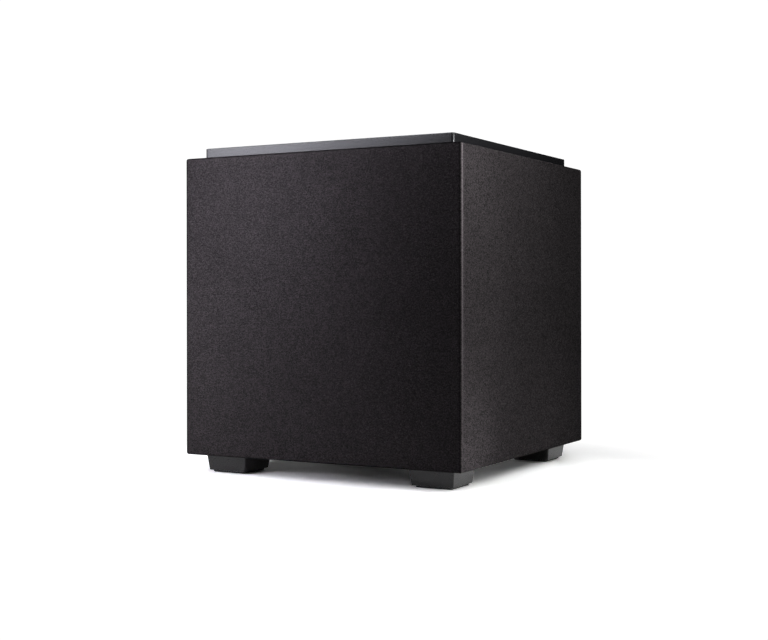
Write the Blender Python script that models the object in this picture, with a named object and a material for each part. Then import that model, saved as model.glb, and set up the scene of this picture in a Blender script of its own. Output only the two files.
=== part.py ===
"""A powered cube subwoofer with a front woofer and two side passive radiators.

Metres, +Z up, the front faces -Y. The origin is under the middle of the bounding box,
on the surface that the rubber pads stand on.
"""

import math

import bmesh
import bpy
from mathutils import Vector

# Overall size of the cloth-covered body
BODY_WIDTH = 0.350
BODY_DEPTH = 0.350
BODY_HEIGHT = 0.340
FOOT_HEIGHT = 0.0207
REAR_REACH = 0.018  # how far the knobs stand behind the cloth
GAP = 0.0003  # between pieces that touch

# Walls
CLOTH = 0.0012
CAP_BOARD = 0.015
SIDE_BOARD = 0.015
BACK_BOARD = 0.015
BAFFLE_BOARD = 0.022
FRONT_GRILLE_DEPTH = 0.0194
SIDE_GRILLE_DEPTH = 0.0154
GRILLE_BORDER = 0.018
BOARD_CORNER = 0.003

# Top plate and feet
PLATE_INSET = 0.0157
PLATE_RISE = 0.012
PLATE_SHADOW_GAP = 0.0012
PLATE_STEP = 0.0095
FOOT_INSET = 0.0165
FOOT_SIZE = 0.0537
FOOT_TAPER = 0.0022
FOOT_CORNER = 0.0027
PAD_THICKNESS = 0.002
PAD_INSET = 0.003
SCREW_WELL_RADIUS = 0.005

# Drive units
WOOFER_SEGMENTS = 32
PASSIVE_SEGMENTS = 28
FLANGE_RECESS = 0.003
FLANGE_THICKNESS = 0.004
WOOFER_FLANGE = 0.127
WOOFER_HOLE = 0.116
PASSIVE_FLANGE = 0.125
PASSIVE_HOLE = 0.1145
PASSIVE_OFFSET_Y = 0.013  # the passive radiators sit a little behind the middle
ROLL_OUTER = 0.112
ROLL_INNER = 0.094
SURROUND_THICKNESS = 0.0015
COIL_RADIUS = 0.0254
CONE_DEPTH = 0.036

# Amplifier plate
AMP_WIDTH = 0.190
AMP_HEIGHT = 0.250
AMP_THICKNESS = 0.003
AMP_HOLE_WIDTH = 0.172
AMP_HOLE_HEIGHT = 0.230
KNOB_SPACING = 0.045
KNOB_RAISE = 0.078
SWITCH_RAISE = 0.034
SWITCH_SPACING = 0.045
JACK_RAISE = 0.030
JACK_SPACING = 0.020
INLET_X = -0.045
ROCKER_X = 0.050
MAINS_DROP = 0.092
LIGHT_RAISE = 0.108
ROCKER_REST_DEG = 7.0
SMALL_SEGMENTS = 20

# Worked out from the above
HALF_WIDTH = BODY_WIDTH / 2
HALF_DEPTH = BODY_DEPTH / 2
BODY_Y = -REAR_REACH / 2
BODY_BOTTOM = FOOT_HEIGHT + GAP
BODY_TOP = BODY_BOTTOM + BODY_HEIGHT
MIDDLE_Z = (BODY_BOTTOM + BODY_TOP) / 2
CORE = HALF_WIDTH - CLOTH - GAP  # half width of the boards behind the cloth
WALL_LOW = BODY_BOTTOM + CLOTH + GAP + CAP_BOARD
WALL_HIGH = BODY_TOP - CLOTH - GAP - CAP_BOARD
BAFFLE_FRONT = -CORE + FRONT_GRILLE_DEPTH + GAP
BAFFLE_REAR = BAFFLE_FRONT + BAFFLE_BOARD
BACK_FRONT = CORE - BACK_BOARD
SIDE_OUT = CORE - SIDE_GRILLE_DEPTH - GAP
SIDE_IN = SIDE_OUT - SIDE_BOARD
WOOFER_FACE = BAFFLE_FRONT + FLANGE_RECESS
PASSIVE_FACE = SIDE_OUT - FLANGE_RECESS
AMP_FACE = HALF_DEPTH + GAP + AMP_THICKNESS

SIDES = {"left": -1, "right": 1}
ENDS = {"front": -1, "rear": 1}


def clear_scene():
    """Starts from nothing."""
    for old in list(bpy.data.objects):
        bpy.data.objects.remove(old)


def material(name, colour, roughness, metallic=0.0):
    """A plain Principled material."""
    made = bpy.data.materials.get(name) or bpy.data.materials.new(name)
    made.use_nodes = True
    shader = made.node_tree.nodes["Principled BSDF"]
    shader.inputs["Base Color"].default_value = (*colour, 1.0)
    shader.inputs["Roughness"].default_value = roughness
    shader.inputs["Metallic"].default_value = metallic
    return made


def finish(name, mesh_maker, look, parent):
    """Turns a bmesh into a named, parented object with its faces pointing out."""
    bmesh.ops.recalc_face_normals(mesh_maker, faces=mesh_maker.faces)
    mesh = bpy.data.meshes.new(name)
    mesh_maker.to_mesh(mesh)
    mesh_maker.free()
    mesh.materials.append(look)
    mesh.shade_smooth()
    mesh.set_sharp_from_angle(angle=math.radians(35))
    made = bpy.data.objects.new(name, mesh)
    bpy.context.collection.objects.link(made)
    made.parent = parent
    return made


def seat(name, location, rotation=(0.0, 0.0, 0.0), parent=None):
    """An empty that a group of pieces is built around."""
    made = bpy.data.objects.new(name, None)
    made.location = location
    made.rotation_euler = rotation
    bpy.context.collection.objects.link(made)
    made.parent = parent
    return made


def stack(name, rings, look, parent):
    """A closed solid through rings of equal point counts, capped at both ends."""
    maker = bmesh.new()
    rows = [[maker.verts.new(point) for point in ring] for ring in rings]
    count = len(rings[0])
    for low, high in zip(rows, rows[1:]):
        for i in range(count):
            j = (i + 1) % count
            maker.faces.new((low[i], low[j], high[j], high[i]))
    maker.faces.new(rows[0])
    maker.faces.new(rows[-1])
    return finish(name, maker, look, parent)


def rounded_rectangle(half_x, half_y, corner, z, steps=3, centre=(0.0, 0.0)):
    """Points round a rectangle, with arcs at its corners, or sharp ones for corner 0."""
    points = []
    for quarter, (sx, sy) in enumerate(((1, 1), (-1, 1), (-1, -1), (1, -1))):
        for k in range(steps + 1 if corner else 1):
            turn = math.radians(90 * quarter + (90 * k / steps if corner else 0))
            x = centre[0] + sx * (half_x - corner) + corner * math.cos(turn)
            y = centre[1] + sy * (half_y - corner) + corner * math.sin(turn)
            points.append(Vector((x, y, z)))
    return points


def prism(name, outline, low, high, look, parent, axis="z"):
    """An outline of pairs, extruded along an axis from low to high."""
    place = {
        "x": lambda a, b, c: Vector((c, a, b)),
        "y": lambda a, b, c: Vector((a, c, b)),
        "z": lambda a, b, c: Vector((a, b, c)),
    }[axis]
    rings = [[place(a, b, level) for a, b in outline] for level in (low, high)]
    return stack(name, rings, look, parent)


def rectangle(low, high):
    """The four corners between two opposite ones, as pairs."""
    return [(low[0], low[1]), (high[0], low[1]), (high[0], high[1]), (low[0], high[1])]


def block(name, low, high, look, parent):
    """A plain box between two corners."""
    return prism(name, rectangle(low[:2], high[:2]), low[2], high[2], look, parent)


def turned(name, profile, segments, look, parent, ring=False):
    """A profile of (radius, height) pairs spun about local Z; a ring's profile closes on itself."""
    maker = bmesh.new()
    points = [maker.verts.new((radius, 0.0, height)) for radius, height in profile]
    edges = [maker.edges.new(pair) for pair in zip(points, points[1:])]
    if ring:
        edges.append(maker.edges.new((points[-1], points[0])))
    bmesh.ops.spin(
        maker,
        geom=points + edges,
        cent=(0.0, 0.0, 0.0),
        axis=(0.0, 0.0, 1.0),
        angle=math.tau,
        steps=segments,
        use_merge=True,
        use_duplicate=False,
    )
    bmesh.ops.remove_doubles(maker, verts=maker.verts, dist=0.000001)
    return finish(name, maker, look, parent)


def shape(target, cutter, operation="DIFFERENCE"):
    """Cuts or joins one object with another, which is itself left out of the part."""
    cutter.hide_render = True
    cutter.display_type = "WIRE"
    change = target.modifiers.new(cutter.name, "BOOLEAN")
    change.operation = operation
    change.solver = "EXACT"
    change.object = cutter


# Materials


def painted_board():
    return material("painted_board", (0.030, 0.028, 0.026), 0.7)


def woven_cloth():
    return material("woven_cloth", (0.040, 0.037, 0.039), 0.95)


def satin_plate():
    return material("satin_plate", (0.055, 0.060, 0.068), 0.28)


def moulded_black():
    return material("moulded_black", (0.022, 0.022, 0.023), 0.45)


def soft_rubber():
    return material("soft_rubber", (0.015, 0.015, 0.015), 0.8)


def cone_paper():
    return material("cone_paper", (0.035, 0.035, 0.037), 0.6)


def cast_frame():
    return material("cast_frame", (0.060, 0.060, 0.062), 0.5, 0.6)


def amp_metal():
    return material("amp_metal", (0.030, 0.030, 0.032), 0.4, 0.5)


# Cabinet


def build_cabinet(body):
    """Two caps with four walls and a brace between them."""
    look = painted_board()
    for name, low in (("cabinet_bottom", BODY_BOTTOM + CLOTH + GAP), ("cabinet_top", WALL_HIGH + GAP)):
        high = low + CAP_BOARD - GAP
        rings = [rounded_rectangle(CORE, CORE, BOARD_CORNER, z) for z in (low, high)]
        stack(name, rings, look, body)
    build_baffle(body, look)
    build_side_walls(body, look)
    build_back_panel(body, look)
    build_brace(body, look)


def stepped_cutter(name, flange, hole, depth, segments, parent):
    """What a drive unit's flange and its basket take out of a board."""
    seat_depth = FLANGE_THICKNESS + GAP
    clearance = 0.0004
    profile = [
        (0.0, FLANGE_RECESS + 0.005),
        (flange + clearance, FLANGE_RECESS + 0.005),
        (flange + clearance, -seat_depth),
        (hole, -seat_depth),
        (hole, -depth),
        (0.0, -depth),
    ]
    return turned(name, profile, segments, painted_board(), parent)


def build_baffle(body, look):
    low = (-SIDE_OUT, BAFFLE_FRONT, WALL_LOW)
    high = (SIDE_OUT, BAFFLE_REAR, WALL_HIGH)
    baffle = block("front_baffle", low, high, look, body)
    cutter = stepped_cutter(
        "woofer_hole", WOOFER_FLANGE, WOOFER_HOLE, 0.030, WOOFER_SEGMENTS, woofer_seat(body)
    )
    shape(baffle, cutter)


def build_side_walls(body, look):
    for side, way in SIDES.items():
        edges = sorted((way * SIDE_IN, way * SIDE_OUT))
        low = (edges[0], BAFFLE_REAR + GAP, WALL_LOW)
        high = (edges[1], BACK_FRONT - GAP, WALL_HIGH)
        wall = block(f"cabinet_{side}", low, high, look, body)
        cutter = stepped_cutter(
            f"passive_hole_{side}",
            PASSIVE_FLANGE,
            PASSIVE_HOLE,
            0.025,
            PASSIVE_SEGMENTS,
            passive_seat(side, body),
        )
        shape(wall, cutter)


def build_back_panel(body, look):
    panel = block("back_panel", (-CORE, BACK_FRONT, WALL_LOW), (CORE, CORE, WALL_HIGH), look, body)
    cutter = amp_opening("panel_opening", 0.03, body)
    shape(panel, cutter)


def amp_opening(name, reach, body):
    """The rectangle behind the amplifier plate, as a cutter through whatever is there."""
    half_x = AMP_HOLE_WIDTH / 2
    half_z = AMP_HOLE_HEIGHT / 2
    low = (-half_x, BACK_FRONT - reach, MIDDLE_Z - half_z)
    high = (half_x, HALF_DEPTH + reach, MIDDLE_Z + half_z)
    return block(name, low, high, painted_board(), body)


def build_brace(body, look):
    """A window frame of board behind the woofer's magnet, waisted to clear the passive cones."""
    front = 0.005
    rear = 0.017
    waist = 0.108
    window_x = 0.093
    window_z = 0.110
    waist_z = 0.120
    edge = SIDE_IN - GAP
    outline = [
        (-edge, WALL_LOW),
        (edge, WALL_LOW),
        (edge, MIDDLE_Z - waist_z),
        (waist, MIDDLE_Z - waist_z),
        (waist, MIDDLE_Z + waist_z),
        (edge, MIDDLE_Z + waist_z),
        (edge, WALL_HIGH),
        (-edge, WALL_HIGH),
        (-edge, MIDDLE_Z + waist_z),
        (-waist, MIDDLE_Z + waist_z),
        (-waist, MIDDLE_Z - waist_z),
        (-edge, MIDDLE_Z - waist_z),
    ]
    brace = prism("internal_brace", outline, front, rear, look, body, axis="y")
    low = (-window_x, front - 0.01, MIDDLE_Z - window_z)
    high = (window_x, rear + 0.01, MIDDLE_Z + window_z)
    shape(brace, block("brace_window", low, high, look, body))


# Cloth and the frames that hold it


def build_cloth(body):
    """The sleeve of cloth as its four walls, the front and back ones over the ends of the others."""
    look = woven_cloth()
    inner = HALF_DEPTH - CLOTH
    block("cloth_front", (-HALF_WIDTH, -HALF_DEPTH, BODY_BOTTOM), (HALF_WIDTH, -inner, BODY_TOP), look, body)
    for side, way in SIDES.items():
        edges = sorted((way * HALF_WIDTH, way * (HALF_WIDTH - CLOTH)))
        low = (edges[0], -inner + GAP, BODY_BOTTOM)
        high = (edges[1], inner - GAP, BODY_TOP)
        block(f"cloth_{side}", low, high, look, body)
    back_low = (-HALF_WIDTH, inner, BODY_BOTTOM)
    back_high = (HALF_WIDTH, HALF_DEPTH, BODY_TOP)
    back = block("cloth_back", back_low, back_high, look, body)
    shape(back, amp_opening("cloth_opening", 0.03, body))


def grille_frame(name, half_a, half_b, thickness, place, body):
    """A rectangular frame with a round-cornered window; place turns its own x, y, z into the body's."""
    window_a = half_a - GRILLE_BORDER
    window_b = half_b - GRILLE_BORDER
    outer = [rounded_rectangle(half_a, half_b, 0, z) for z in (0, thickness)]
    frame = stack(name, [[place(p) for p in ring] for ring in outer], moulded_black(), body)
    inner = [rounded_rectangle(window_a, window_b, 0.010, z) for z in (-0.01, thickness + 0.01)]
    cutter = stack(name + "_window", [[place(p) for p in ring] for ring in inner], moulded_black(), body)
    shape(frame, cutter)


def build_grille_frames(body):
    half_z = (WALL_HIGH - WALL_LOW) / 2
    grille_frame(
        "grille_frame_front",
        CORE,
        half_z,
        FRONT_GRILLE_DEPTH,
        lambda p: Vector((p.x, -CORE + p.z, MIDDLE_Z + p.y)),
        body,
    )
    middle_y = (BAFFLE_FRONT + BACK_FRONT - GAP) / 2
    half_y = (BACK_FRONT - GAP - BAFFLE_FRONT) / 2
    for side, way in SIDES.items():
        grille_frame(
            f"grille_frame_{side}",
            half_y,
            half_z,
            SIDE_GRILLE_DEPTH,
            lambda p, way=way: Vector((way * (CORE - p.z), middle_y + p.x, MIDDLE_Z + p.y)),
            body,
        )


# Top plate and feet


def build_top_plate(body):
    """A thin slab that stands clear of the cloth on a smaller step below it."""
    half = HALF_WIDTH - PLATE_INSET
    edge = 0.0006
    steps = [
        (half - PLATE_STEP, BODY_TOP - CLOTH + GAP),
        (half - PLATE_STEP, BODY_TOP + PLATE_SHADOW_GAP),
        (half, BODY_TOP + PLATE_SHADOW_GAP),
        (half, BODY_TOP + PLATE_RISE - edge),
        (half - edge, BODY_TOP + PLATE_RISE),
    ]
    stack("top_plate", [rounded_rectangle(size, size, 0.004, z) for size, z in steps], satin_plate(), body)


def build_foot(name, x, y, body):
    """A tapered square foot with a boss into the cabinet, its pad, and a well for the screw."""
    spot = seat(name + "_seat", (x, y, 0.0), parent=body)
    top = FOOT_SIZE / 2
    bottom = top - FOOT_TAPER
    boss = 0.015
    shoulder = 0.0015
    steps = [
        (bottom - PAD_INSET / 2, PAD_THICKNESS + GAP),
        (bottom, PAD_THICKNESS + GAP + 0.001),
        (top, FOOT_HEIGHT - shoulder),
        (top, FOOT_HEIGHT),
        (boss, FOOT_HEIGHT),
        (boss, BODY_BOTTOM + CLOTH),
    ]
    rings = [rounded_rectangle(size, size, FOOT_CORNER, z) for size, z in steps]
    foot = stack(f"foot_{name}", rings, moulded_black(), spot)
    pad_half = bottom - PAD_INSET
    rings = [rounded_rectangle(pad_half, pad_half, FOOT_CORNER, z) for z in (0.0, PAD_THICKNESS)]
    pad = stack(f"foot_pad_{name}", rings, soft_rubber(), spot)
    well = [(0.0, -0.005), (SCREW_WELL_RADIUS, -0.005), (SCREW_WELL_RADIUS, 0.012), (0.0, 0.012)]
    cutter = turned(f"screw_well_{name}", well, 12, soft_rubber(), spot)
    shape(foot, cutter)
    shape(pad, cutter)


def build_feet(body):
    reach_x = HALF_WIDTH - FOOT_INSET - FOOT_SIZE / 2
    reach_y = HALF_DEPTH - FOOT_INSET - FOOT_SIZE / 2
    for end, way_y in ENDS.items():
        for side, way_x in SIDES.items():
            build_foot(f"{end}_{side}", way_x * reach_x, way_y * reach_y, body)


# Drive units: each is built round its own axis, with local +Z pointing out of the cabinet


def woofer_seat(body):
    return seat("woofer_axis", (0.0, WOOFER_FACE, MIDDLE_Z), (math.radians(90), 0.0, 0.0), body)


def passive_seat(side, body):
    way = SIDES[side]
    location = (way * PASSIVE_FACE, PASSIVE_OFFSET_Y, MIDDLE_Z)
    return seat(f"passive_axis_{side}", location, (0.0, math.radians(90 * way), 0.0), body)


def surround_profile():
    """A half roll between two flat lands, as a closed outline of even thickness."""
    middle = (ROLL_OUTER + ROLL_INNER) / 2
    radius = (ROLL_OUTER - ROLL_INNER) / 2
    half = SURROUND_THICKNESS / 2
    base = GAP + half
    steps = 5
    upper = [(0.119, base + half)]
    lower = [(0.119, base - half)]
    for k in range(steps + 1):
        turn = math.pi * k / steps
        across = math.cos(turn)
        up = math.sin(turn)
        upper.append((middle + (radius + half) * across, base + half + (radius - half) * up))
        lower.append((middle + (radius - half) * across, base - half + (radius - half) * up))
    upper.append((0.0875, base + half))
    lower.append((0.0875, base - half))
    return upper + lower[::-1]


def cone_height(radius):
    """Height of the cone's upper face, flaring a little towards its rim."""
    neck = COIL_RADIUS + 0.0004
    rim = 0.088
    share = (radius - neck) / (rim - neck)
    return -CONE_DEPTH + (CONE_DEPTH - 0.002) * share**0.9


def build_woofer_cone(axis):
    thickness = 0.0016
    neck = COIL_RADIUS + 0.0004
    rim = 0.088
    steps = 5
    upper = [(0.0935, -GAP), (rim, -GAP)]
    lower = [(0.0935, -GAP - thickness), (rim + 0.001, -GAP - thickness)]
    for k in range(1, steps + 1):
        radius = rim + (neck - rim) * k / steps
        upper.append((radius, cone_height(radius)))
        lower.append((radius, cone_height(radius) - thickness * 1.15))
    turned("woofer_cone", upper + lower[::-1], WOOFER_SEGMENTS, cone_paper(), axis, ring=True)


def build_dust_cap(axis):
    rim = 0.038
    rise = 0.011
    thickness = 0.0012
    base = cone_height(rim) + 0.0006
    turns = [math.radians(90 * k / 4) for k in range(5)]
    outer = [(rim * math.cos(t), base + rise * math.sin(t)) for t in turns]
    inner = [
        ((rim - thickness) * math.cos(t), base + (rise - thickness) * math.sin(t)) for t in turns
    ]
    outer[-1] = (0.0, base + rise)
    inner[-1] = (0.0, base + rise - thickness)
    turned("woofer_dust_cap", inner[::-1] + outer, WOOFER_SEGMENTS, cone_paper(), axis, ring=False)


def build_basket(axis):
    """A flange, a windowed cone wall with a ledge for the spider, and a base ring for the motor."""
    profile = [
        (WOOFER_FLANGE, 0.0),
        (WOOFER_FLANGE, -FLANGE_THICKNESS),
        (0.1145, -FLANGE_THICKNESS),
        (0.082, -0.044),
        (0.069, -0.052),
        (0.069, -0.064),
        (0.030, -0.064),
        (0.030, -0.060),
        (0.064, -0.060),
        (0.064, -0.047),
        (0.068, -0.043),
        (0.079, -0.043),
        (0.079, -0.0405),
        (0.1105, -0.003),
        (0.1105, 0.0),
    ]
    basket = turned("woofer_basket", profile, WOOFER_SEGMENTS, cast_frame(), axis, ring=True)
    windows = 6
    for k in range(windows):
        spot = seat(f"window_seat_{k}", (0.0, 0.0, 0.0), (0.0, 0.0, math.tau * k / windows), axis)
        cutter = block(
            f"basket_window_{k}", (0.070, -0.031, -0.036), (0.130, 0.031, -0.009), cast_frame(), spot
        )
        shape(basket, cutter)


def build_spider(axis):
    """A corrugated disc from the coil former to the ledge in the basket."""
    middle = -0.0422
    half = 0.0004
    inner = 0.030
    outer = 0.070
    waves = 3
    ridges = [(COIL_RADIUS + 0.0004, middle), (inner, middle)]
    for k in range(2 * waves):
        radius = inner + (outer - inner) * (k + 0.5) / (2 * waves)
        ridges.append((radius, middle + (0.0018 if k % 2 == 0 else -0.0004)))
    ridges += [(outer, middle), (0.0765, middle)]
    upper = [(radius, height + half) for radius, height in ridges]
    lower = [(radius, height - half) for radius, height in ridges]
    look = material("spider_cloth", (0.35, 0.22, 0.08), 0.9)
    turned("woofer_spider", upper + lower[::-1], WOOFER_SEGMENTS, look, axis, ring=True)


def tube(name, inner, outer, low, high, segments, look, parent):
    """A plain ring of rectangular section."""
    profile = [(outer, high), (outer, low), (inner, low), (inner, high)]
    return turned(name, profile, segments, look, parent, ring=True)


def build_motor(axis):
    steel = material("plated_steel", (0.45, 0.44, 0.42), 0.35, 0.9)
    ferrite = material("ferrite", (0.045, 0.044, 0.044), 0.6)
    copper = material("copper_wire", (0.55, 0.20, 0.06), 0.35, 0.9)
    kapton = material("former_film", (0.35, 0.16, 0.03), 0.3)
    segments = WOOFER_SEGMENTS
    tube("voice_coil_former", COIL_RADIUS - 0.0008, COIL_RADIUS, -0.078, -0.033, segments, kapton, axis)
    winding = COIL_RADIUS + GAP
    tube("voice_coil_winding", winding, winding + 0.0015, -0.074, -0.058, segments, copper, axis)
    tube("motor_front_plate", 0.0286, 0.060, -0.0723, -0.0643, segments, steel, axis)
    tube("motor_magnet", 0.036, 0.065, -0.0926, -0.0726, segments, ferrite, axis)
    vent = 0.006
    pole = 0.0234
    yoke = [
        (vent, -0.1019),
        (0.060, -0.1019),
        (0.060, -0.0929),
        (pole, -0.0929),
        (pole, -0.062),
        (vent, -0.062),
    ]
    turned("motor_yoke", yoke, segments, steel, axis, ring=True)


def build_terminals(axis):
    """A small board on the basket's base ring with two blades for the lead."""
    outline = [
        (0.0694, -0.010),
        (0.0730, -0.010),
        (0.0730, -0.0065),
        (0.0810, -0.0065),
        (0.0810, -0.0035),
        (0.0730, -0.0035),
        (0.0730, 0.0035),
        (0.0810, 0.0035),
        (0.0810, 0.0065),
        (0.0730, 0.0065),
        (0.0730, 0.010),
        (0.0694, 0.010),
    ]
    look = material("terminal_brass", (0.60, 0.42, 0.16), 0.4, 0.8)
    prism("woofer_terminals", outline, -0.060, -0.056, look, axis)


def build_woofer(body):
    axis = woofer_seat(body)
    build_basket(axis)
    turned("woofer_surround", surround_profile(), WOOFER_SEGMENTS, soft_rubber(), axis, ring=True)
    build_woofer_cone(axis)
    build_dust_cap(axis)
    build_spider(axis)
    build_motor(axis)
    build_terminals(axis)


def build_passive(side, body):
    """A flat dished cone with a weight behind it, on a surround in a shallow frame."""
    axis = passive_seat(side, body)
    frame = [
        (PASSIVE_FLANGE, 0.0),
        (PASSIVE_FLANGE, -FLANGE_THICKNESS),
        (0.1135, -FLANGE_THICKNESS),
        (0.1135, -0.013),
        (0.1105, -0.013),
        (0.1105, 0.0),
    ]
    cone = [
        (0.0, -0.0063),
        (0.080, -0.0063),
        (0.0875, -0.0026),
        (0.0935, -0.0026),
        (0.0935, -GAP),
        (0.087, -GAP),
        (0.080, -0.0033),
        (0.0, -0.0033),
    ]
    steel = material("plated_steel", (0.45, 0.44, 0.42), 0.35, 0.9)
    segments = PASSIVE_SEGMENTS
    turned(f"passive_frame_{side}", frame, segments, cast_frame(), axis, ring=True)
    turned(f"passive_surround_{side}", surround_profile(), segments, soft_rubber(), axis, ring=True)
    turned(f"passive_cone_{side}", cone, segments, cone_paper(), axis)
    tube(f"passive_weight_{side}", 0.003, 0.032, -0.0166, -0.0066, segments, steel, axis)


# Amplifier: local +Z points out of the back, local -Y is up


def amp_seat(body):
    return seat("amp_face", (0.0, AMP_FACE, MIDDLE_Z), (math.radians(-90), 0.0, 0.0), body)


def spot_on_plate(name, x, raise_by, face):
    """A point on the plate's outer face, raise_by above its middle."""
    return seat(name, (x, -raise_by, 0.0), parent=face)


def hole(name, radius, parent):
    """A round cutter through the amplifier plate."""
    profile = [(0.0, -0.006), (radius, -0.006), (radius, 0.003), (0.0, 0.003)]
    return turned(name, profile, SMALL_SEGMENTS, amp_metal(), parent)


def slot(name, half_x, half_y, parent):
    """A rectangular cutter through the amplifier plate."""
    return block(name, (-half_x, -half_y, -0.006), (half_x, half_y, 0.003), amp_metal(), parent)


def build_knob(name, spot):
    """A knob whose shaft runs in a pot that is clamped in the plate."""
    knob = [
        (0.0, -0.0105),
        (0.0030, -0.0105),
        (0.0030, 0.0010),
        (0.0125, 0.0010),
        (0.0125, 0.0030),
        (0.0112, 0.0042),
        (0.0106, 0.0140),
        (0.0100, 0.0147),
        (0.0, 0.0147),
    ]
    pot = [
        (0.0, -0.0140),
        (0.0080, -0.0140),
        (0.0080, -0.0033),
        (0.0039, -0.0033),
        (0.0039, 0.0007),
        (0.0033, 0.0007),
        (0.0033, -0.0110),
        (0.0, -0.0110),
    ]
    turned(f"{name}_knob", knob, SMALL_SEGMENTS, moulded_black(), spot)
    turned(f"{name}_pot", pot, SMALL_SEGMENTS, material("pot_metal", (0.4, 0.4, 0.4), 0.4, 0.8), spot)


def build_slide_switch(name, spot):
    """A lever at the left end of its window, with a wider foot behind the plate."""
    start = -0.002
    steps = [
        (0.0100, 0.0045, -0.0070),
        (0.0100, 0.0045, -0.0034),
        (0.0021, 0.0019, -0.0034),
        (0.0021, 0.0019, 0.0026),
    ]
    rings = [rounded_rectangle(a, b, 0, z, centre=(start, 0.0)) for a, b, z in steps]
    stack(name, rings, material("switch_white", (0.55, 0.55, 0.53), 0.4), spot)


def build_power_switch(spot):
    """A snap-in body with a pocket, and the rocker that tilts in it."""
    steps = [
        (0.0097, 0.0067, -0.014),
        (0.0097, 0.0067, GAP),
        (0.0110, 0.0080, GAP),
        (0.0110, 0.0080, 0.002),
    ]
    look = moulded_black()
    upright = [rounded_rectangle(b, a, 0, z) for a, b, z in steps]
    switch = stack("power_switch_body", upright, look, spot)
    pocket = block("switch_pocket", (-0.0056, -0.0088, -0.009), (0.0056, 0.0088, 0.005), look, spot)
    shape(switch, pocket)
    outline = [
        (-0.0082, 0.0018),
        (-0.0078, -0.0022),
        (-0.0028, -0.0045),
        (0.0028, -0.0045),
        (0.0078, -0.0022),
        (0.0082, 0.0018),
        (0.0, 0.0008),
    ]
    rocker = prism("power_rocker", outline, -0.0053, 0.0053, moulded_black(), spot, axis="x")
    rocker.rotation_euler = (math.radians(ROCKER_REST_DEG), 0.0, 0.0)


def build_jacks(spot):
    """Two phono sockets on one moulded base behind the plate."""
    look = material("jack_moulding", (0.03, 0.03, 0.03), 0.4)
    base = block("rca_jacks", (-0.018, -0.008, -0.0133), (0.018, 0.008, -0.0033), look, spot)
    for k, way in enumerate((-1, 1)):
        place = seat(f"jack_seat_{k}", (way * JACK_SPACING / 2, 0.0, 0.0), parent=spot)
        barrel = [(0.0, -0.006), (0.0041, -0.006), (0.0041, 0.0080), (0.0, 0.0080)]
        bore = [(0.0, -0.010), (0.0017, -0.010), (0.0017, 0.0100), (0.0, 0.0100)]
        shape(base, turned(f"jack_barrel_{k}", barrel, SMALL_SEGMENTS, look, place), "UNION")
        shape(base, turned(f"jack_bore_{k}", bore, 10, look, place))


def build_inlet(spot):
    """A mains inlet with its three pins, and the fuse drawer in the slot below it."""
    steps = [
        (0.0136, 0.0160, -0.022),
        (0.0136, 0.0160, GAP),
        (0.0250, 0.0180, GAP),
        (0.0250, 0.0180, 0.0028),
    ]
    rings = [rounded_rectangle(a, b, 0, z) for a, b, z in steps]
    inlet = stack("mains_inlet", rings, moulded_black(), spot)
    half = 0.0120
    top = -0.0138
    bottom = 0.0026
    chamfer = 0.0045
    outline = [
        (-half, bottom),
        (-half, top + chamfer),
        (-half + chamfer, top),
        (half - chamfer, top),
        (half, top + chamfer),
        (half, bottom),
    ]
    shape(inlet, prism("inlet_pocket", outline, -0.0165, 0.010, moulded_black(), spot))
    look = moulded_black()
    drawer_slot = block("drawer_slot", (-0.0115, 0.0062, -0.0205), (0.0115, 0.0142, 0.010), look, spot)
    shape(inlet, drawer_slot)
    for k, (x, y) in enumerate(((-0.007, -0.0052), (0.0, -0.0088), (0.007, -0.0052))):
        low = (x - 0.001, y - 0.002, -0.018)
        high = (x + 0.001, y + 0.002, -0.001)
        shape(inlet, block(f"inlet_pin_{k}", low, high, moulded_black(), spot), "UNION")
    drawer = block("fuse_drawer", (-0.0112, 0.0065, -0.0200), (0.0112, 0.0139, 0.0038), look, spot)
    pocket = block("fuse_pocket", (-0.0100, 0.0055, -0.0185), (0.0100, 0.0120, -0.0020), look, spot)
    shape(drawer, pocket)


def build_electronics(face):
    """The board, transformer, heat sink and capacitor behind the plate."""
    board = material("circuit_board", (0.02, 0.09, 0.035), 0.5)
    block("amp_board", (-0.075, -0.112, -0.0186), (0.075, -0.012, -0.0170), board, face)
    ring = [
        (0.014, -0.0410),
        (0.017, -0.0440),
        (0.034, -0.0440),
        (0.040, -0.0380),
        (0.040, -0.0096),
        (0.034, -0.0036),
        (0.017, -0.0036),
        (0.014, -0.0066),
    ]
    spot = seat("transformer_spot", (0.0, 0.034, 0.0), parent=face)
    tape = material("winding_tape", (0.50, 0.35, 0.05), 0.5)
    turned("power_transformer", ring, SMALL_SEGMENTS + 4, tape, spot, ring=True)
    spot = seat("capacitor_spot", (-0.040, -0.090, 0.0), parent=face)
    can = [(0.0, -0.0569), (0.0120, -0.0569), (0.0125, -0.0560), (0.0125, -0.0189), (0.0, -0.0189)]
    turned("filter_capacitor", can, SMALL_SEGMENTS, material("can_sleeve", (0.02, 0.03, 0.08), 0.3), spot)
    build_heat_sink(face)


def build_heat_sink(face):
    """A finned extrusion beside the transformer."""
    left = 0.048
    fin = 0.002
    gap = 0.0048
    base = -0.0036
    web = -0.0076
    tip = -0.0300
    fins = 5
    outline = [(left, base)]
    for k in range(fins):
        near = left + k * (fin + gap)
        outline += [(near, tip), (near + fin, tip)]
        if k < fins - 1:
            outline += [(near + fin, web), (near + fin + gap, web)]
    outline.append((left + (fins - 1) * (fin + gap) + fin, base))
    look = material("fin_metal", (0.35, 0.35, 0.36), 0.4, 0.9)
    prism("heat_sink", outline, 0.0, 0.070, look, face, axis="y")


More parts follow.
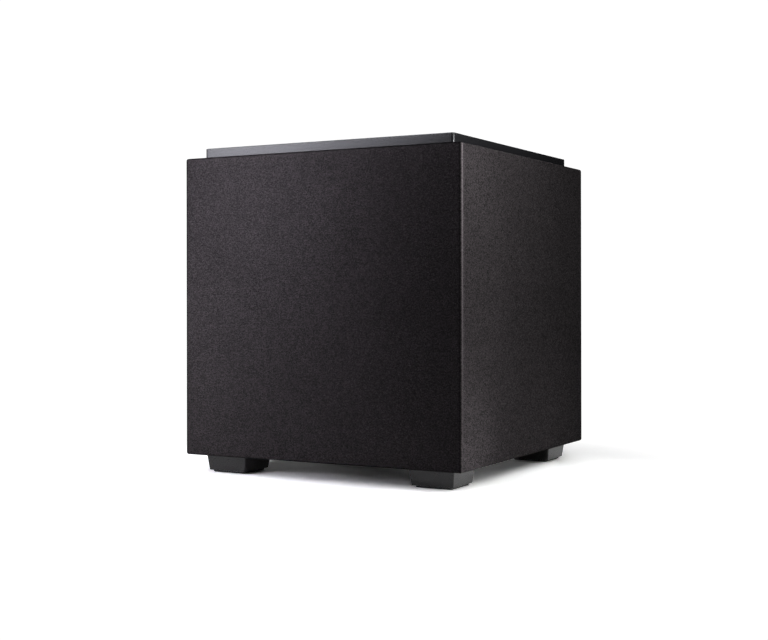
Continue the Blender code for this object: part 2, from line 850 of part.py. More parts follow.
def build_amplifier(body):
    face = amp_seat(body)
    half_x = AMP_WIDTH / 2
    half_y = AMP_HEIGHT / 2
    rings = [rounded_rectangle(half_x, half_y, 0.004, z) for z in (-AMP_THICKNESS, 0.0)]
    plate = stack("amp_plate", rings, amp_metal(), face)
    for name, x in (("volume", -KNOB_SPACING), ("crossover", KNOB_SPACING)):
        spot = spot_on_plate(name + "_axis", x, KNOB_RAISE, face)
        shape(plate, hole(name + "_hole", 0.0042, spot))
        build_knob(name, spot)
    for name, x in (("phase_switch", -SWITCH_SPACING), ("auto_switch", SWITCH_SPACING)):
        spot = spot_on_plate(name + "_spot", x, SWITCH_RAISE, face)
        shape(plate, slot(name + "_window", 0.0048, 0.0023, spot))
        build_slide_switch(name, spot)
    jacks = spot_on_plate("jack_spot", 0.0, JACK_RAISE, face)
    for k, way in enumerate((-1, 1)):
        place = seat(f"jack_hole_seat_{k}", (way * JACK_SPACING / 2, 0.0, 0.0), parent=jacks)
        shape(plate, hole(f"jack_hole_{k}", 0.0045, place))
    build_jacks(jacks)
    power = spot_on_plate("rocker_spot", ROCKER_X, -MAINS_DROP, face)
    shape(plate, slot("switch_opening", 0.0070, 0.0100, power))
    build_power_switch(power)
    mains = spot_on_plate("inlet_spot", INLET_X, -MAINS_DROP, face)
    shape(plate, slot("inlet_opening", 0.0140, 0.0164, mains))
    build_inlet(mains)
    light = spot_on_plate("light_spot", 0.0, LIGHT_RAISE, face)
    shape(plate, hole("light_hole", 0.0019, light))
    lens = [(0.0, -0.006), (0.0015, -0.006), (0.0015, 0.0003), (0.0009, 0.0008), (0.0, 0.0008)]
    turned("status_light", lens, 10, material("light_lens", (0.05, 0.25, 0.6), 0.2), light)
    build_electronics(face)


# The lead from the board to the woofer


def smooth_route(corners, count):
    """Points along a Catmull-Rom curve through the corners."""
    ends = [2 * corners[0] - corners[1]] + corners + [2 * corners[-1] - corners[-2]]
    spans = len(corners) - 1
    points = []
    for k in range(count):
        along = spans * k / (count - 1)
        i = min(int(along), spans - 1)
        t = along - i
        a, b, c, d = ends[i : i + 4]
        cubic = (-a + 3 * b - 3 * c + d) * t**3
        square = (2 * a - 5 * b + 4 * c - d) * t**2
        points.append(0.5 * (2 * b + (c - a) * t + square + cubic))
    return points


def build_lead(body):
    """A thin two-core lead, from the board through the brace's window to the woofer's blades."""
    board = AMP_FACE - 0.0189
    blades = WOOFER_FACE + 0.058
    corners = [
        Vector((0.030, board, 0.225)),
        Vector((0.031, 0.135, 0.223)),
        Vector((0.044, 0.085, 0.200)),
        Vector((0.066, 0.020, 0.180)),
        Vector((0.092, -0.040, 0.180)),
        Vector((0.104, -0.080, 0.187)),
        Vector((0.098, blades, MIDDLE_Z)),
        Vector((0.0835, blades, MIDDLE_Z)),
    ]
    curve = bpy.data.curves.new("woofer_lead", "CURVE")
    curve.dimensions = "3D"
    curve.bevel_depth = 0.0020
    curve.bevel_resolution = 2
    curve.use_fill_caps = True
    line = curve.splines.new("POLY")
    route = smooth_route(corners, 36)
    line.points.add(len(route) - 1)
    for point, place in zip(line.points, route):
        point.co = (*place, 1.0)
    curve.materials.append(material("lead_jacket", (0.25, 0.02, 0.02), 0.5))
    lead = bpy.data.objects.new("woofer_lead", curve)
    bpy.context.collection.objects.link(lead)
    lead.parent = body


def main():
    clear_scene()
    body = seat("body_middle", (0.0, BODY_Y, 0.0))
    build_cabinet(body)
    build_cloth(body)
    build_grille_frames(body)
    build_top_plate(body)
    build_feet(body)
    build_woofer(body)
    for side in SIDES:
        build_passive(side, body)
    build_amplifier(body)
    build_lead(body)


main()
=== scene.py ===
"""Looks of a powered cube subwoofer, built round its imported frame.

A stretched knit sleeve over grille frames, a satin top plate above a shadow gap, tapered feet,
and the drive units and the amplifier that the sleeve hides. Metres, +Z up, the front faces -Y.
"""

import math

import bmesh
import bpy
from mathutils import Matrix, Vector


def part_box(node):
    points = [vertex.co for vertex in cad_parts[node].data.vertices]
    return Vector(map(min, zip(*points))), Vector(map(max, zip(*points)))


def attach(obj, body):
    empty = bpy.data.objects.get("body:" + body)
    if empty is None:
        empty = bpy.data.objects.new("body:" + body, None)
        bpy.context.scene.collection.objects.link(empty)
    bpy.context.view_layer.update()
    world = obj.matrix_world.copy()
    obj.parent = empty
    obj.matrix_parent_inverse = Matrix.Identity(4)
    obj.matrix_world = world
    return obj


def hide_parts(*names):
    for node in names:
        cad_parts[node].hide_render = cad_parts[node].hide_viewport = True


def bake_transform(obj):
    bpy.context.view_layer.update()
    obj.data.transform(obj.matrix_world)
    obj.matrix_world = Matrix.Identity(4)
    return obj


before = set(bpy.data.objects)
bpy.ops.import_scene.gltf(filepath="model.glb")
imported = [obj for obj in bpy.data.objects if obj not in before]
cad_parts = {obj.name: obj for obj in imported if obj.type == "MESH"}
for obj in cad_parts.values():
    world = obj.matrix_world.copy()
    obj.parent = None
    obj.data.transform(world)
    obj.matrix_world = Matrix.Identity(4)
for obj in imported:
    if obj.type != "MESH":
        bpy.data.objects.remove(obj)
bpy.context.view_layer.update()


def corners(*nodes):
    """Lowest and highest corner round one or more CAD nodes."""
    boxes = [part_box(node) for node in nodes]
    low = Vector([min(box[0][i] for box in boxes) for i in range(3)])
    high = Vector([max(box[1][i] for box in boxes) for i in range(3)])
    return low, high


def middle(*nodes):
    low, high = corners(*nodes)
    return (low + high) / 2


SIDES = {"left": -1, "right": 1}
FOOT_NAMES = ("front_left", "front_right", "rear_left", "rear_right")

# Mesh steps: points round a turned shape, and how near two points are joined
SEGMENTS = 96
JOIN = 1e-7

# Places from the frame
CLOTH_WALLS = ("cloth_front", "cloth_left", "cloth_right", "cloth_back")
BODY_LOW, BODY_HIGH = corners(*CLOTH_WALLS)
BODY_HALF = (BODY_HIGH.x - BODY_LOW.x) / 2
BODY_MIDDLE = (BODY_LOW + BODY_HIGH) / 2
WOOFER_FACE = corners("woofer_basket")[0].y
PASSIVE_FACE = corners("passive_frame_right")[1].x
PASSIVE_MIDDLE = middle("passive_frame_right").y
AMP_LOW, AMP_HIGH = corners("amp_plate")

# The sleeve; its two painted lines by each front corner, a painted shade line and a painted highlight
# line, are given as distance round the front corner, width and strength
CLOTH = 0.0009
CLOTH_CORNER = 0.0013
CLOTH_ROLL = 0.0028
CLOTH_FOLD = 0.025
CLOTH_SAG = 0.00042
# Painted shade: the tone the front is darkened to where it folds over the top
FOLD_PAINTED_SHADE = 0.10
PAINTED_SHADE_LINE = (0.0001, 0.0014, 0.58)
PAINTED_HIGHLIGHT_LINE = (0.0040, 0.0017, 0.15, 2.8)
SAG_INSET = 0.0185
SAG_RUN = 0.007
OPENING_X = 0.086
OPENING_Z = 0.115
WEAVE_PITCH = 0.0011
LOOP_PITCH = 0.0010
LOOP_CONTRAST = (0.85, 1.4025)

# Drive units, as radii and heights about their own axes
ROLL_RADII = (0.112, 0.094)
SPIDER_RADII = (0.070, 0.030)
SURROUND_THICKNESS = 0.0015
WOOFER_FLANGE = 0.127
PASSIVE_FLANGE = 0.125
COIL_RADIUS = 0.0254
CONE_DEPTH = 0.036
SECTORS = 24

# Amplifier
DRAWER_HEIGHT = -0.0102
FIGURE_RELIEF = 0.00006

# Camera and light
CAMERA_PLACE = (0.7525, -1.3919, 0.2035)
CAMERA_TURN = 28.925
CAMERA_ROLL = -0.08
CAMERA_LENS = 61.34
CAMERA_SHIFT = -0.03205
FLOOR_HALF = 4.0
FLOOR_PAINT = (1.6, 1.6, 1.6)
FLOOR_FADE = (0.20, 0.36)
WHITE_GLOW = 1.05
WORLD_FILL = 0.001
COOL = (0.98, 0.962, 1.045)
PLAIN = (1.0, 1.0, 1.0)


# Mesh tools


def rounded(half_x, half_y, corner, across=(), steps=6):
    """Pairs anticlockwise round a rectangle: arcs at its corners, and along each straight side
    extra points, given as shares from -1 to 1."""
    pairs = []
    flat_x = half_x - corner
    flat_y = half_y - corner
    for quarter, (way_x, way_y) in enumerate(((1, 1), (-1, 1), (-1, -1), (1, -1))):
        for k in range(steps + 1):
            turn = math.radians(90 * (quarter + k / steps))
            x = way_x * flat_x + corner * math.cos(turn)
            y = way_y * flat_y + corner * math.sin(turn)
            pairs.append((x, y))
        for share in across:
            sides = (
                (-share * flat_x, half_y),
                (-half_x, -share * flat_y),
                (share * flat_x, -half_y),
                (half_x, share * flat_y),
            )
            pairs.append(sides[quarter])
    return pairs


def skinned(rows, whole=True):
    """A skin over rows of equal point counts, which close on themselves when whole."""
    maker = bmesh.new()
    grid = [[maker.verts.new(point) for point in row] for row in rows]
    count = len(grid[0])
    for low, high in zip(grid, grid[1:]):
        for i in range(count if whole else count - 1):
            j = (i + 1) % count
            maker.faces.new((low[i], low[j], high[j], high[i]))
    return maker, grid


def lofted(rings):
    """A solid through rings, with a flat cap at each end."""
    maker, grid = skinned(rings)
    maker.faces.new(grid[0][::-1])
    maker.faces.new(grid[-1])
    return maker


def looped(rings):
    """A solid through rings that come back to the first one."""
    maker = skinned(rings + [rings[0]])[0]
    bmesh.ops.remove_doubles(maker, verts=maker.verts, dist=JOIN)
    return maker


def slab(steps, corner, across=(), centre=(0.0, 0.0)):
    """A solid through rounded rectangles, one for each (half_x, half_y, height)."""
    rings = []
    for half_x, half_y, height in steps:
        bend = min(corner, half_x * 0.99, half_y * 0.99)
        pairs = rounded(half_x, half_y, bend, across)
        rings.append([(centre[0] + x, centre[1] + y, height) for x, y in pairs])
    return lofted(rings)


def edged(half_x, half_y, low, high, edge):
    """Steps of a slab whose lower and upper edges are rounded off."""
    turns = [math.radians(30 * k) for k in range(4)]
    arcs = [(1 - math.sin(turn), low + edge * (1 - math.cos(turn))) for turn in turns]
    arcs += [(1 - math.cos(turn), high - edge * (1 - math.sin(turn))) for turn in turns]
    return [(half_x - edge * inward, half_y - edge * inward, height) for inward, height in arcs]


def turned(profile, ring=False, segments=SEGMENTS, sweep=math.tau, flutes=0):
    """A profile of (radius, height) spun about local Z; a third value is the depth of its flutes."""
    whole = sweep == math.tau
    count = segments if whole else segments + 1
    rows = []
    for point in profile:
        depth = point[2] if len(point) > 2 else 0.0
        row = []
        for k in range(count):
            turn = sweep * k / segments
            radius = point[0] - depth * (0.5 + 0.5 * math.cos(flutes * turn))
            row.append(Vector((radius * math.cos(turn), radius * math.sin(turn), point[1])))
        rows.append(row)
    if ring:
        rows.append(rows[0])
    maker = skinned(rows, whole)[0]
    bmesh.ops.remove_doubles(maker, verts=maker.verts, dist=JOIN)
    return maker


def tube(inner, outer, low, high, edge, segments=SEGMENTS):
    """A ring of rectangular section with small chamfers."""
    profile = [
        (inner, low + edge), (inner + edge, low), (outer - edge, low), (outer, low + edge),
        (outer, high - edge), (outer - edge, high), (inner + edge, high), (inner, high - edge),
    ]
    return turned(profile, ring=True, segments=segments)


def swept(points, radius):
    """A round wire along a smooth curve that its points lead."""
    curve = bpy.data.curves.new("wire", "CURVE")
    curve.dimensions = "3D"
    curve.bevel_depth = radius
    curve.bevel_resolution = 2
    curve.use_fill_caps = True
    line = curve.splines.new("NURBS")
    line.points.add(len(points) - 1)
    for spot, point in zip(line.points, points):
        spot.co = (*point, 1.0)
    line.order_u = 4
    line.use_endpoint_u = True
    line.resolution_u = 6
    return from_object(bpy.data.objects.new("wire", curve))


def lettering(words, size, thickness):
    """Raised figures, centred on the local origin."""
    curve = bpy.data.curves.new("figures", "FONT")
    curve.body = words
    curve.size = size
    curve.extrude = thickness / 2
    curve.align_x = "CENTER"
    curve.align_y = "CENTER"
    return from_object(bpy.data.objects.new("figures", curve))


def from_object(source):
    """The evaluated mesh of a curve or a text, as a mesh maker; the object itself goes."""
    bpy.context.collection.objects.link(source)
    bpy.context.view_layer.update()
    mesh = bpy.data.meshes.new_from_object(source.evaluated_get(bpy.context.evaluated_depsgraph_get()))
    maker = bmesh.new()
    maker.from_mesh(mesh)
    bmesh.ops.remove_doubles(maker, verts=maker.verts, dist=JOIN)
    bpy.data.objects.remove(source)
    bpy.data.meshes.remove(mesh)
    return maker


def gathered(parts):
    """One mesh maker from several, each moved to its own place."""
    whole = bmesh.new()
    for part, place in parts:
        part.transform(place)
        mesh = bpy.data.meshes.new("part")
        part.to_mesh(mesh)
        part.free()
        whole.from_mesh(mesh)
        bpy.data.meshes.remove(mesh)
    return whole


def facing(origin, outward, up=(0, 0, 1)):
    """A place whose local Z points outward and whose local Y points up."""
    z = Vector(outward).normalized()
    x = Vector(up).cross(z).normalized()
    y = z.cross(x)
    return Matrix.Translation(origin) @ Matrix((x, y, z)).transposed().to_4x4()


WOOFER_PLACE = facing((0.0, WOOFER_FACE, BODY_MIDDLE.z), (0, -1, 0))
PASSIVE_PLACES = {
    side: facing((way * PASSIVE_FACE, PASSIVE_MIDDLE, BODY_MIDDLE.z), (way, 0, 0))
    for side, way in SIDES.items()
}
FLIPPED = Matrix.Rotation(math.pi, 4, "X")
LYING = Matrix.Rotation(math.pi / 2, 4, "Y")


def shifted(x=0.0, y=0.0, z=0.0, turn=0.0):
    """A turn about local Z, then a move along the axes from before that turn."""
    return Matrix.Translation((x, y, z)) @ Matrix.Rotation(turn, 4, "Z")


def made(name, maker, look, place=None, sharp=35):
    """A named object in the scene, its faces outward, smooth between its sharp edges."""
    if place is not None:
        maker.transform(place)
    bmesh.ops.recalc_face_normals(maker, faces=maker.faces)
    mesh = bpy.data.meshes.new(name)
    maker.to_mesh(mesh)
    maker.free()
    mesh.materials.append(look)
    mesh.shade_smooth()
    mesh.set_sharp_from_angle(angle=math.radians(sharp))
    thing = bpy.data.objects.new(name, mesh)
    bpy.context.collection.objects.link(thing)
    return thing


def piece(name, maker, slot, body="cabinet", stands_for=(), place=None, sharp=35, look=None):
    """A finished piece that rides on a body, in the finish of one of the record's slots."""
    thing = made(name, maker, look or LOOKS[slot], place, sharp)
    if sharp < 180:
        thing.modifiers.new("even_normals", "WEIGHTED_NORMAL").keep_sharp = True
    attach(thing, body)
    if stands_for:
        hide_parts(*stands_for)
    return thing


def carved(maker, *cutters):
    """A shape with other closed shapes taken out of it, as a new mesh maker."""
    things = []
    for shape in (maker, *cutters):
        bmesh.ops.recalc_face_normals(shape, faces=shape.faces)
        mesh = bpy.data.meshes.new("blank")
        shape.to_mesh(mesh)
        shape.free()
        thing = bpy.data.objects.new("blank", mesh)
        bpy.context.collection.objects.link(thing)
        things.append(thing)
    for cutter in things[1:]:
        change = things[0].modifiers.new("cut", "BOOLEAN")
        change.operation = "DIFFERENCE"
        change.solver = "EXACT"
        change.object = cutter
    bpy.context.view_layer.update()
    graph = bpy.context.evaluated_depsgraph_get()
    result = bpy.data.meshes.new_from_object(things[0].evaluated_get(graph))
    whole = bmesh.new()
    whole.from_mesh(result)
    for thing in things:
        bpy.data.meshes.remove(thing.data)
    bpy.data.meshes.remove(result)
    return whole


# Materials


class Shading:
    """A Principled material and short ways to add nodes to it."""

    def __init__(self, name):
        self.material = bpy.data.materials.new(name)
        self.material.use_nodes = True
        self.nodes = self.material.node_tree.nodes
        self.links = self.material.node_tree.links
        self.shader = self.nodes["Principled BSDF"]

    def plug(self, entry, value):
        """Sets an input from a value or from another node's output."""
        if isinstance(value, bpy.types.NodeSocket):
            self.links.new(value, entry)
        else:
            entry.default_value = value

    def put(self, node, **inputs):
        for name, value in inputs.items():
            self.plug(node.inputs[name.replace("_", " ")], value)

    def node(self, kind, settings=None, **inputs):
        made_node = self.nodes.new("ShaderNode" + kind)
        for name, value in (settings or {}).items():
            setattr(made_node, name, value)
        self.put(made_node, **inputs)
        return made_node

    def calc(self, operation, *values):
        """A math node over one to three numbers or sockets."""
        result = self.node("Math", {"operation": operation})
        for entry, value in zip(result.inputs, values):
            self.plug(entry, value)
        return result.outputs[0]

    def product(self, first, *others):
        """Numbers or sockets multiplied together."""
        for other in others:
            first = self.calc("MULTIPLY", first, other)
        return first

    def place(self):
        """Object coordinates, in metres."""
        return self.node("TexCoord").outputs["Object"]

    def noise(self, size, detail=2.0, vector=None):
        """Noise from 0 to 1 whose features are about size metres across."""
        where = vector or self.place()
        return self.node("TexNoise", Vector=where, Scale=1 / size, Detail=detail).outputs["Fac"]

    def remap(self, value, low, high, source=(0.3, 0.7)):
        """A number moved from the source range to low..high."""
        ends = {"From_Min": source[0], "From_Max": source[1], "To_Min": low, "To_Max": high}
        return self.node("MapRange", Value=value, **ends).outputs["Result"]

    def tinted(self, colour, brightness):
        """A colour multiplied by a number."""
        scaled = self.node("VectorMath", {"operation": "SCALE"}, Vector=colour, Scale=brightness)
        return scaled.outputs[0]

    def bump(self, height, depth):
        """Relief of about depth metres where height goes from 0 to 1."""
        self.put(self.shader, Normal=self.node("Bump", Height=height, Distance=depth).outputs[0])

    def done(self, **inputs):
        self.put(self.shader, **inputs)
        return self.material


def speckled(name, colour, roughness, metallic, grain, contrast, relief, shine=0.5):
    """A finish with fine grain, a slow change of tone, and roughness and relief that follow them."""
    look = Shading(name)
    fine = look.noise(grain, 3.0)
    slow = look.remap(look.noise(0.05), 0.92, 1.08)
    tone = look.product(look.remap(fine, 1 - contrast, 1 + contrast), slow)
    look.bump(fine, relief)
    rough = look.remap(fine, roughness * 0.88, roughness * 1.12)
    paint = look.tinted(colour, tone)
    return look.done(Base_Color=paint, Roughness=rough, Metallic=metallic, Specular_IOR_Level=shine)


def woven_cloth():
    """Charcoal knit: loops that each catch the light differently, a faint crossed pattern, short
    slanting strokes, and the sleeve's painted shade and painted highlight at its top fold and front
    corners."""
    look = Shading("woven_cloth")
    flat = look.node("UVMap", {"uv_map": "cloth"}).outputs[0]
    split = look.node("SeparateXYZ", Vector=flat)
    waves = []
    for axis in "XY":
        waves.append(look.calc("SINE", look.product(split.outputs[axis], math.tau / WEAVE_PITCH)))
    cross = look.remap(look.product(*waves), 0.0, 1.0, (-1.0, 1.0))
    loops = look.node("TexVoronoi", {"voronoi_dimensions": "2D"}, Vector=flat, Scale=1 / LOOP_PITCH)
    shade = look.node("SeparateColor", Color=loops.outputs["Color"]).outputs["Red"]
    normal = look.node("NewGeometry").outputs["Normal"]
    sideways = look.calc("ABSOLUTE", look.node("SeparateXYZ", Vector=normal).outputs["X"])
    strength = look.remap(sideways, *LOOP_CONTRAST, (0.2, 0.8))
    # Painted shade and painted highlight stored on the sleeve; the loops show less where the highlight
    # is painted
    painted_shading = look.node("Attribute", {"attribute_name": "painted_shading"}).outputs["Fac"]
    strength = look.product(strength, look.remap(painted_shading, 1.0, 0.35, (1.1, 1.6)))
    slant = {"Rotation": (0.0, 0.0, math.radians(52)), "Scale": (1.0, 2.6, 1.0)}
    slanted = look.node("Mapping", Vector=flat, **slant).outputs[0]
    tone = look.product(
        look.calc("MULTIPLY_ADD", look.calc("SUBTRACT", shade, 0.5), strength, 1.0),
        look.remap(look.noise(0.0012, 1.0, flat), 0.66, 1.37),
        look.remap(look.noise(0.0042, 2.0, slanted), 0.84, 1.17),
        look.remap(look.noise(0.009, 2.0, flat), 0.93, 1.07),
        look.remap(look.noise(0.045, 2.0, flat), 0.95, 1.05),
        look.remap(cross, 0.92, 1.08, (0.0, 1.0)),
        # the sleeve's painted shade and painted highlight
        painted_shading,
    )
    look.bump(look.calc("SUBTRACT", cross, loops.outputs["Distance"]), 0.0002)
    paint = look.tinted((0.0303, 0.0268, 0.0283), tone)
    return look.done(Base_Color=paint, Roughness=0.9, Specular_IOR_Level=0.04)


def satin_plate():
    """Smooth satin paint with a very fine, even grain."""
    look = Shading("satin_plate")
    grain = look.noise(0.0007)
    look.bump(grain, 0.0000004)
    return look.done(
        Base_Color=look.tinted((0.0130, 0.0130, 0.0145), look.remap(grain, 0.97, 1.03)),
        Roughness=look.remap(grain, 0.262, 0.268),
        Specular_Tint=(0.965, 0.980, 1.0, 1.0),
    )


def circuit_board():
    """Green solder mask over a faint pattern of tracks."""
    look = Shading("circuit_board")
    tracks = look.node("TexBrick", Vector=look.place(), Scale=160.0, Mortar_Size=0.06).outputs["Fac"]
    tone = look.remap(tracks, 1.0, 1.7, (0.0, 1.0))
    return look.done(Base_Color=look.tinted((0.012, 0.075, 0.028), tone), Roughness=0.35)


def banded(name, colour, roughness, metallic, pitch, contrast, axis):
    """Turns of wire, tape or corrugation in even bands along one axis."""
    look = Shading(name)
    split = look.node("SeparateXYZ", Vector=look.place())
    phase = look.product(split.outputs[axis], math.tau / pitch)
    wave = look.remap(look.calc("SINE", phase), 0.0, 1.0, (-1.0, 1.0))
    bands = look.remap(wave, 1 - contrast, 1 + contrast, (0.0, 1.0))
    tone = look.product(bands, look.remap(look.noise(0.0015), 0.9, 1.1))
    look.bump(wave, pitch * 0.2)
    return look.done(Base_Color=look.tinted(colour, tone), Roughness=roughness, Metallic=metallic)


def lit_lens():
    """A small blue lens that glows a little."""
    look = Shading("light_lens")
    cloudy = look.remap(look.noise(0.0008), 0.8, 1.2)
    blue = look.tinted((0.03, 0.16, 0.55), cloudy)
    return look.done(Base_Color=blue, Roughness=0.15, Emission_Color=blue, Emission_Strength=1.5)


SPECKLED_LOOKS = {
    # slot: colour, roughness, metallic, grain, contrast, relief
    "painted_board": ((0.020, 0.019, 0.018), 0.62, 0.0, 0.0012, 0.20, 0.00006),
    "moulded_black": ((0.0125, 0.0125, 0.0130), 0.36, 0.0, 0.0005, 0.18, 0.000012),
    "soft_rubber": ((0.010, 0.010, 0.010), 0.72, 0.0, 0.0009, 0.20, 0.00003),
    "cone_paper": ((0.030, 0.030, 0.032), 0.60, 0.0, 0.0025, 0.35, 0.00010),
    "cast_frame": ((0.045, 0.045, 0.047), 0.48, 0.3, 0.0007, 0.25, 0.00005),
    "plated_steel": ((0.52, 0.51, 0.48), 0.30, 1.0, 0.0040, 0.12, 0.00001),
    "ferrite": ((0.040, 0.039, 0.039), 0.58, 0.0, 0.0010, 0.30, 0.00004),
    "former_film": ((0.40, 0.17, 0.03), 0.28, 0.0, 0.0060, 0.10, 0.00001),
    "spider_cloth": ((0.38, 0.24, 0.09), 0.85, 0.0, 0.0010, 0.30, 0.00010),
    "terminal_brass": ((0.62, 0.43, 0.17), 0.35, 1.0, 0.0030, 0.12, 0.00001),
    "amp_metal": ((0.018, 0.018, 0.019), 0.42, 0.0, 0.0006, 0.22, 0.00003),
    "can_sleeve": ((0.015, 0.022, 0.060), 0.28, 0.0, 0.0080, 0.15, 0.00001),
    "fin_metal": ((0.40, 0.40, 0.41), 0.36, 1.0, 0.0020, 0.12, 0.00002),
    "pot_metal": ((0.42, 0.42, 0.41), 0.38, 1.0, 0.0030, 0.15, 0.00001),
    "switch_white": ((0.58, 0.58, 0.55), 0.38, 0.0, 0.0020, 0.05, 0.00001),
    "jack_moulding": ((0.022, 0.022, 0.023), 0.36, 0.0, 0.0006, 0.20, 0.00001),
    "winding_tape": ((0.36, 0.25, 0.045), 0.42, 0.0, 0.0025, 0.12, 0.00002),
    "lead_jacket": ((0.030, 0.008, 0.006), 0.45, 0.0, 0.0020, 0.20, 0.00002),
}

LOOKS = {slot: speckled(slot, *values) for slot, values in SPECKLED_LOOKS.items()}
LOOKS["woven_cloth"] = woven_cloth()
LOOKS["satin_plate"] = satin_plate()
LOOKS["circuit_board"] = circuit_board()
LOOKS["copper_wire"] = banded("copper_wire", (0.62, 0.24, 0.08), 0.32, 1.0, 0.0006, 0.35, "Y")
LOOKS["light_lens"] = lit_lens()
RED_RING = speckled("red_ring", (0.42, 0.015, 0.012), 0.35, 0.0, 0.0008, 0.08, 0.00001)
CHIP_LOOK = speckled("chip_black", (0.015, 0.015, 0.016), 0.5, 0.0, 0.0004, 0.2, 0.00002)
RESISTOR_LOOK = banded("resistor_body", (0.46, 0.34, 0.20), 0.45, 0.0, 0.0018, 0.45, "X")
GLASS_LOOK = speckled("fuse_glass", (0.75, 0.80, 0.78), 0.08, 0.0, 0.004, 0.05, 0.000005)
FOOT_LOOK = speckled("foot_black", (0.0046, 0.0038, 0.0041), 0.26, 0.0, 0.0006, 0.12, 0.0000012, 0.32)
RIM_STITCH = speckled("sleeve_thread", (0.030, 0.027, 0.029), 0.7, 0.0, 0.0004, 0.3, 0.00005)


# The sleeve


def cloth_shares():
    """Shares across a wall for the sleeve's grid, even but for lines at the opening's edges."""
    count = 36
    flat = BODY_HALF - CLOTH_CORNER
    shares = [2 * k / count - 1 for k in range(1, count)]
    edge = OPENING_X / flat
    near = [share for share in shares if abs(abs(share) - edge) > 0.6 / count]
    ends = [1 - reach / flat for reach in (0.0007, 0.0014, 0.0022, 0.0032, 0.0045)]
    return sorted(near + [-edge, edge] + ends + [-end for end in ends])


def cloth_levels():
    """(inset, height) down the sleeve: inner edge, top roll, wall, bottom roll, inner edge."""
    steps = 5
    folds = [(CLOTH_FOLD, 0.0), (CLOTH_FOLD * 0.55, 0.0)]
    for k in range(steps + 1):
        turn = math.radians(90 * k / steps)
        folds.append((CLOTH_ROLL * (1 - math.sin(turn)), CLOTH_ROLL * (1 - math.cos(turn))))
    top = [(inset, BODY_HIGH.z - drop) for inset, drop in folds]
    bottom = [(inset, BODY_LOW.z + drop) for inset, drop in folds[::-1]]
    count = 36
    low = BODY_LOW.z + CLOTH_ROLL
    high = BODY_HIGH.z - CLOTH_ROLL
    walls = [high + (low - high) * k / count for k in range(1, count)]
    edges = (BODY_MIDDLE.z - OPENING_Z, BODY_MIDDLE.z + OPENING_Z)
    walls = [z for z in walls if min(abs(z - edge) for edge in edges) > 0.003]
    walls = sorted(walls + list(edges), reverse=True)
    return top + [(0.0, z) for z in walls] + bottom


def eased(value):
    """0 below 0, 1 above 1, smooth between."""
    held = min(max(value, 0.0), 1.0)
    return held * held * (3 - 2 * held)


def sag(across, height):
    """How far the cloth sinks between the edges of a wall's frame, across from the wall's middle."""
    from_side = BODY_HALF - abs(across) - SAG_INSET
    from_end = min(height - BODY_LOW.z, BODY_HIGH.z - height) - SAG_INSET
    return CLOTH_SAG * eased(from_side / SAG_RUN) * eased(from_end / SAG_RUN)


def pulled_in(point):
    """A wall point of the sleeve, moved inward by the sag of the front or a side wall."""
    x = point.x
    y = point.y - BODY_MIDDLE.y
    if abs(abs(x) - BODY_HALF) < 1e-6:
        return Vector((x - math.copysign(sag(y, point.z), x), point.y, point.z))
    if abs(y + BODY_HALF) < 1e-6:
        return Vector((x, point.y + sag(x, point.z), point.z))
    return point


def painted_shading_at(point):
    """The sleeve's painted shading: painted shade where the front folds over the top, and beside each
    front corner a painted shade line on the front's edge and a painted highlight just round the corner,
    brighter towards the top."""
    from_front = point.y - (BODY_MIDDLE.y - BODY_HALF)
    from_side = BODY_HALF - abs(point.x)
    arc = CLOTH_CORNER * math.pi / 2
    if from_front < CLOTH_CORNER and from_side < CLOTH_CORNER:
        way = arc * math.atan2(CLOTH_CORNER - from_side, CLOTH_CORNER - from_front) / (math.pi / 2)
    elif from_front < from_side:
        way = CLOTH_CORNER - from_side
    else:
        way = arc + from_front - CLOTH_CORNER
    height = (point.z - BODY_LOW.z) / (BODY_HIGH.z - BODY_LOW.z)
    dark_at, dark_width, depth = PAINTED_SHADE_LINE
    pale_at, pale_width, highlight_low, highlight_high = PAINTED_HIGHLIGHT_LINE
    # Painted shade line on the front's edge and painted highlight just round each front corner
    painted_shade = depth * math.exp(-(((way - dark_at) / dark_width) ** 2))
    painted_highlight = math.exp(-(((way - pale_at) / pale_width) ** 2))
    line = (1 - painted_shade) * (1 + painted_highlight * (highlight_low + highlight_high * eased(height * 1.35)))
    is_front = eased(1.5 - from_front / 0.004)
    # Painted shade where the front folds over the top
    painted_fold_shade = FOLD_PAINTED_SHADE + (1 - FOLD_PAINTED_SHADE) * eased((BODY_HIGH.z - point.z - 0.0008) / 0.0015)
    return line * (is_front * painted_fold_shade + 1 - is_front)


def build_sleeve():
    """One continuous stretched sleeve, folded in above and below, open behind the amplifier plate."""
    shares = cloth_shares()
    levels = cloth_levels()
    rings = []
    for inset, height in levels:
        half = BODY_HALF - inset
        corner = max(CLOTH_CORNER - inset, 0.0004)
        pairs = rounded(half, half, corner, shares, steps=10)
        ring = [Vector((x, BODY_MIDDLE.y + y, height)) for x, y in pairs]
        rings.append([pulled_in(point) for point in ring] if inset == 0.0 else ring)
    maker = skinned(rings)[0]
    lay_flat(maker, rings)
    gone = [face for face in maker.faces if is_behind_plate(face.calc_center_median())]
    bmesh.ops.delete(maker, geom=gone, context="FACES")
    sleeve = piece("cloth_sleeve", maker, "woven_cloth", stands_for=CLOTH_WALLS, sharp=180)
    shell = sleeve.modifiers.new("thickness", "SOLIDIFY")
    shell.thickness = CLOTH
    shell.offset = -1.0
    shell.use_rim = True
    # Per vertex: painted shade at the front's top fold, and a painted shade line and a painted highlight
    # by each front corner
    layer = sleeve.data.attributes.new("painted_shading", "FLOAT", "POINT")
    layer.data.foreach_set("value", [painted_shading_at(vertex.co) for vertex in sleeve.data.vertices])
    rests = ["grille_frame_front", "grille_frame_left", "grille_frame_right"]
    rests += ["back_panel", "cabinet_top", "cabinet_bottom"]


def is_behind_plate(point):
    inside_x = abs(point.x) < OPENING_X
    inside_z = abs(point.z - BODY_MIDDLE.z) < OPENING_Z
    return inside_x and inside_z and point.y > BODY_HIGH.y - 0.001


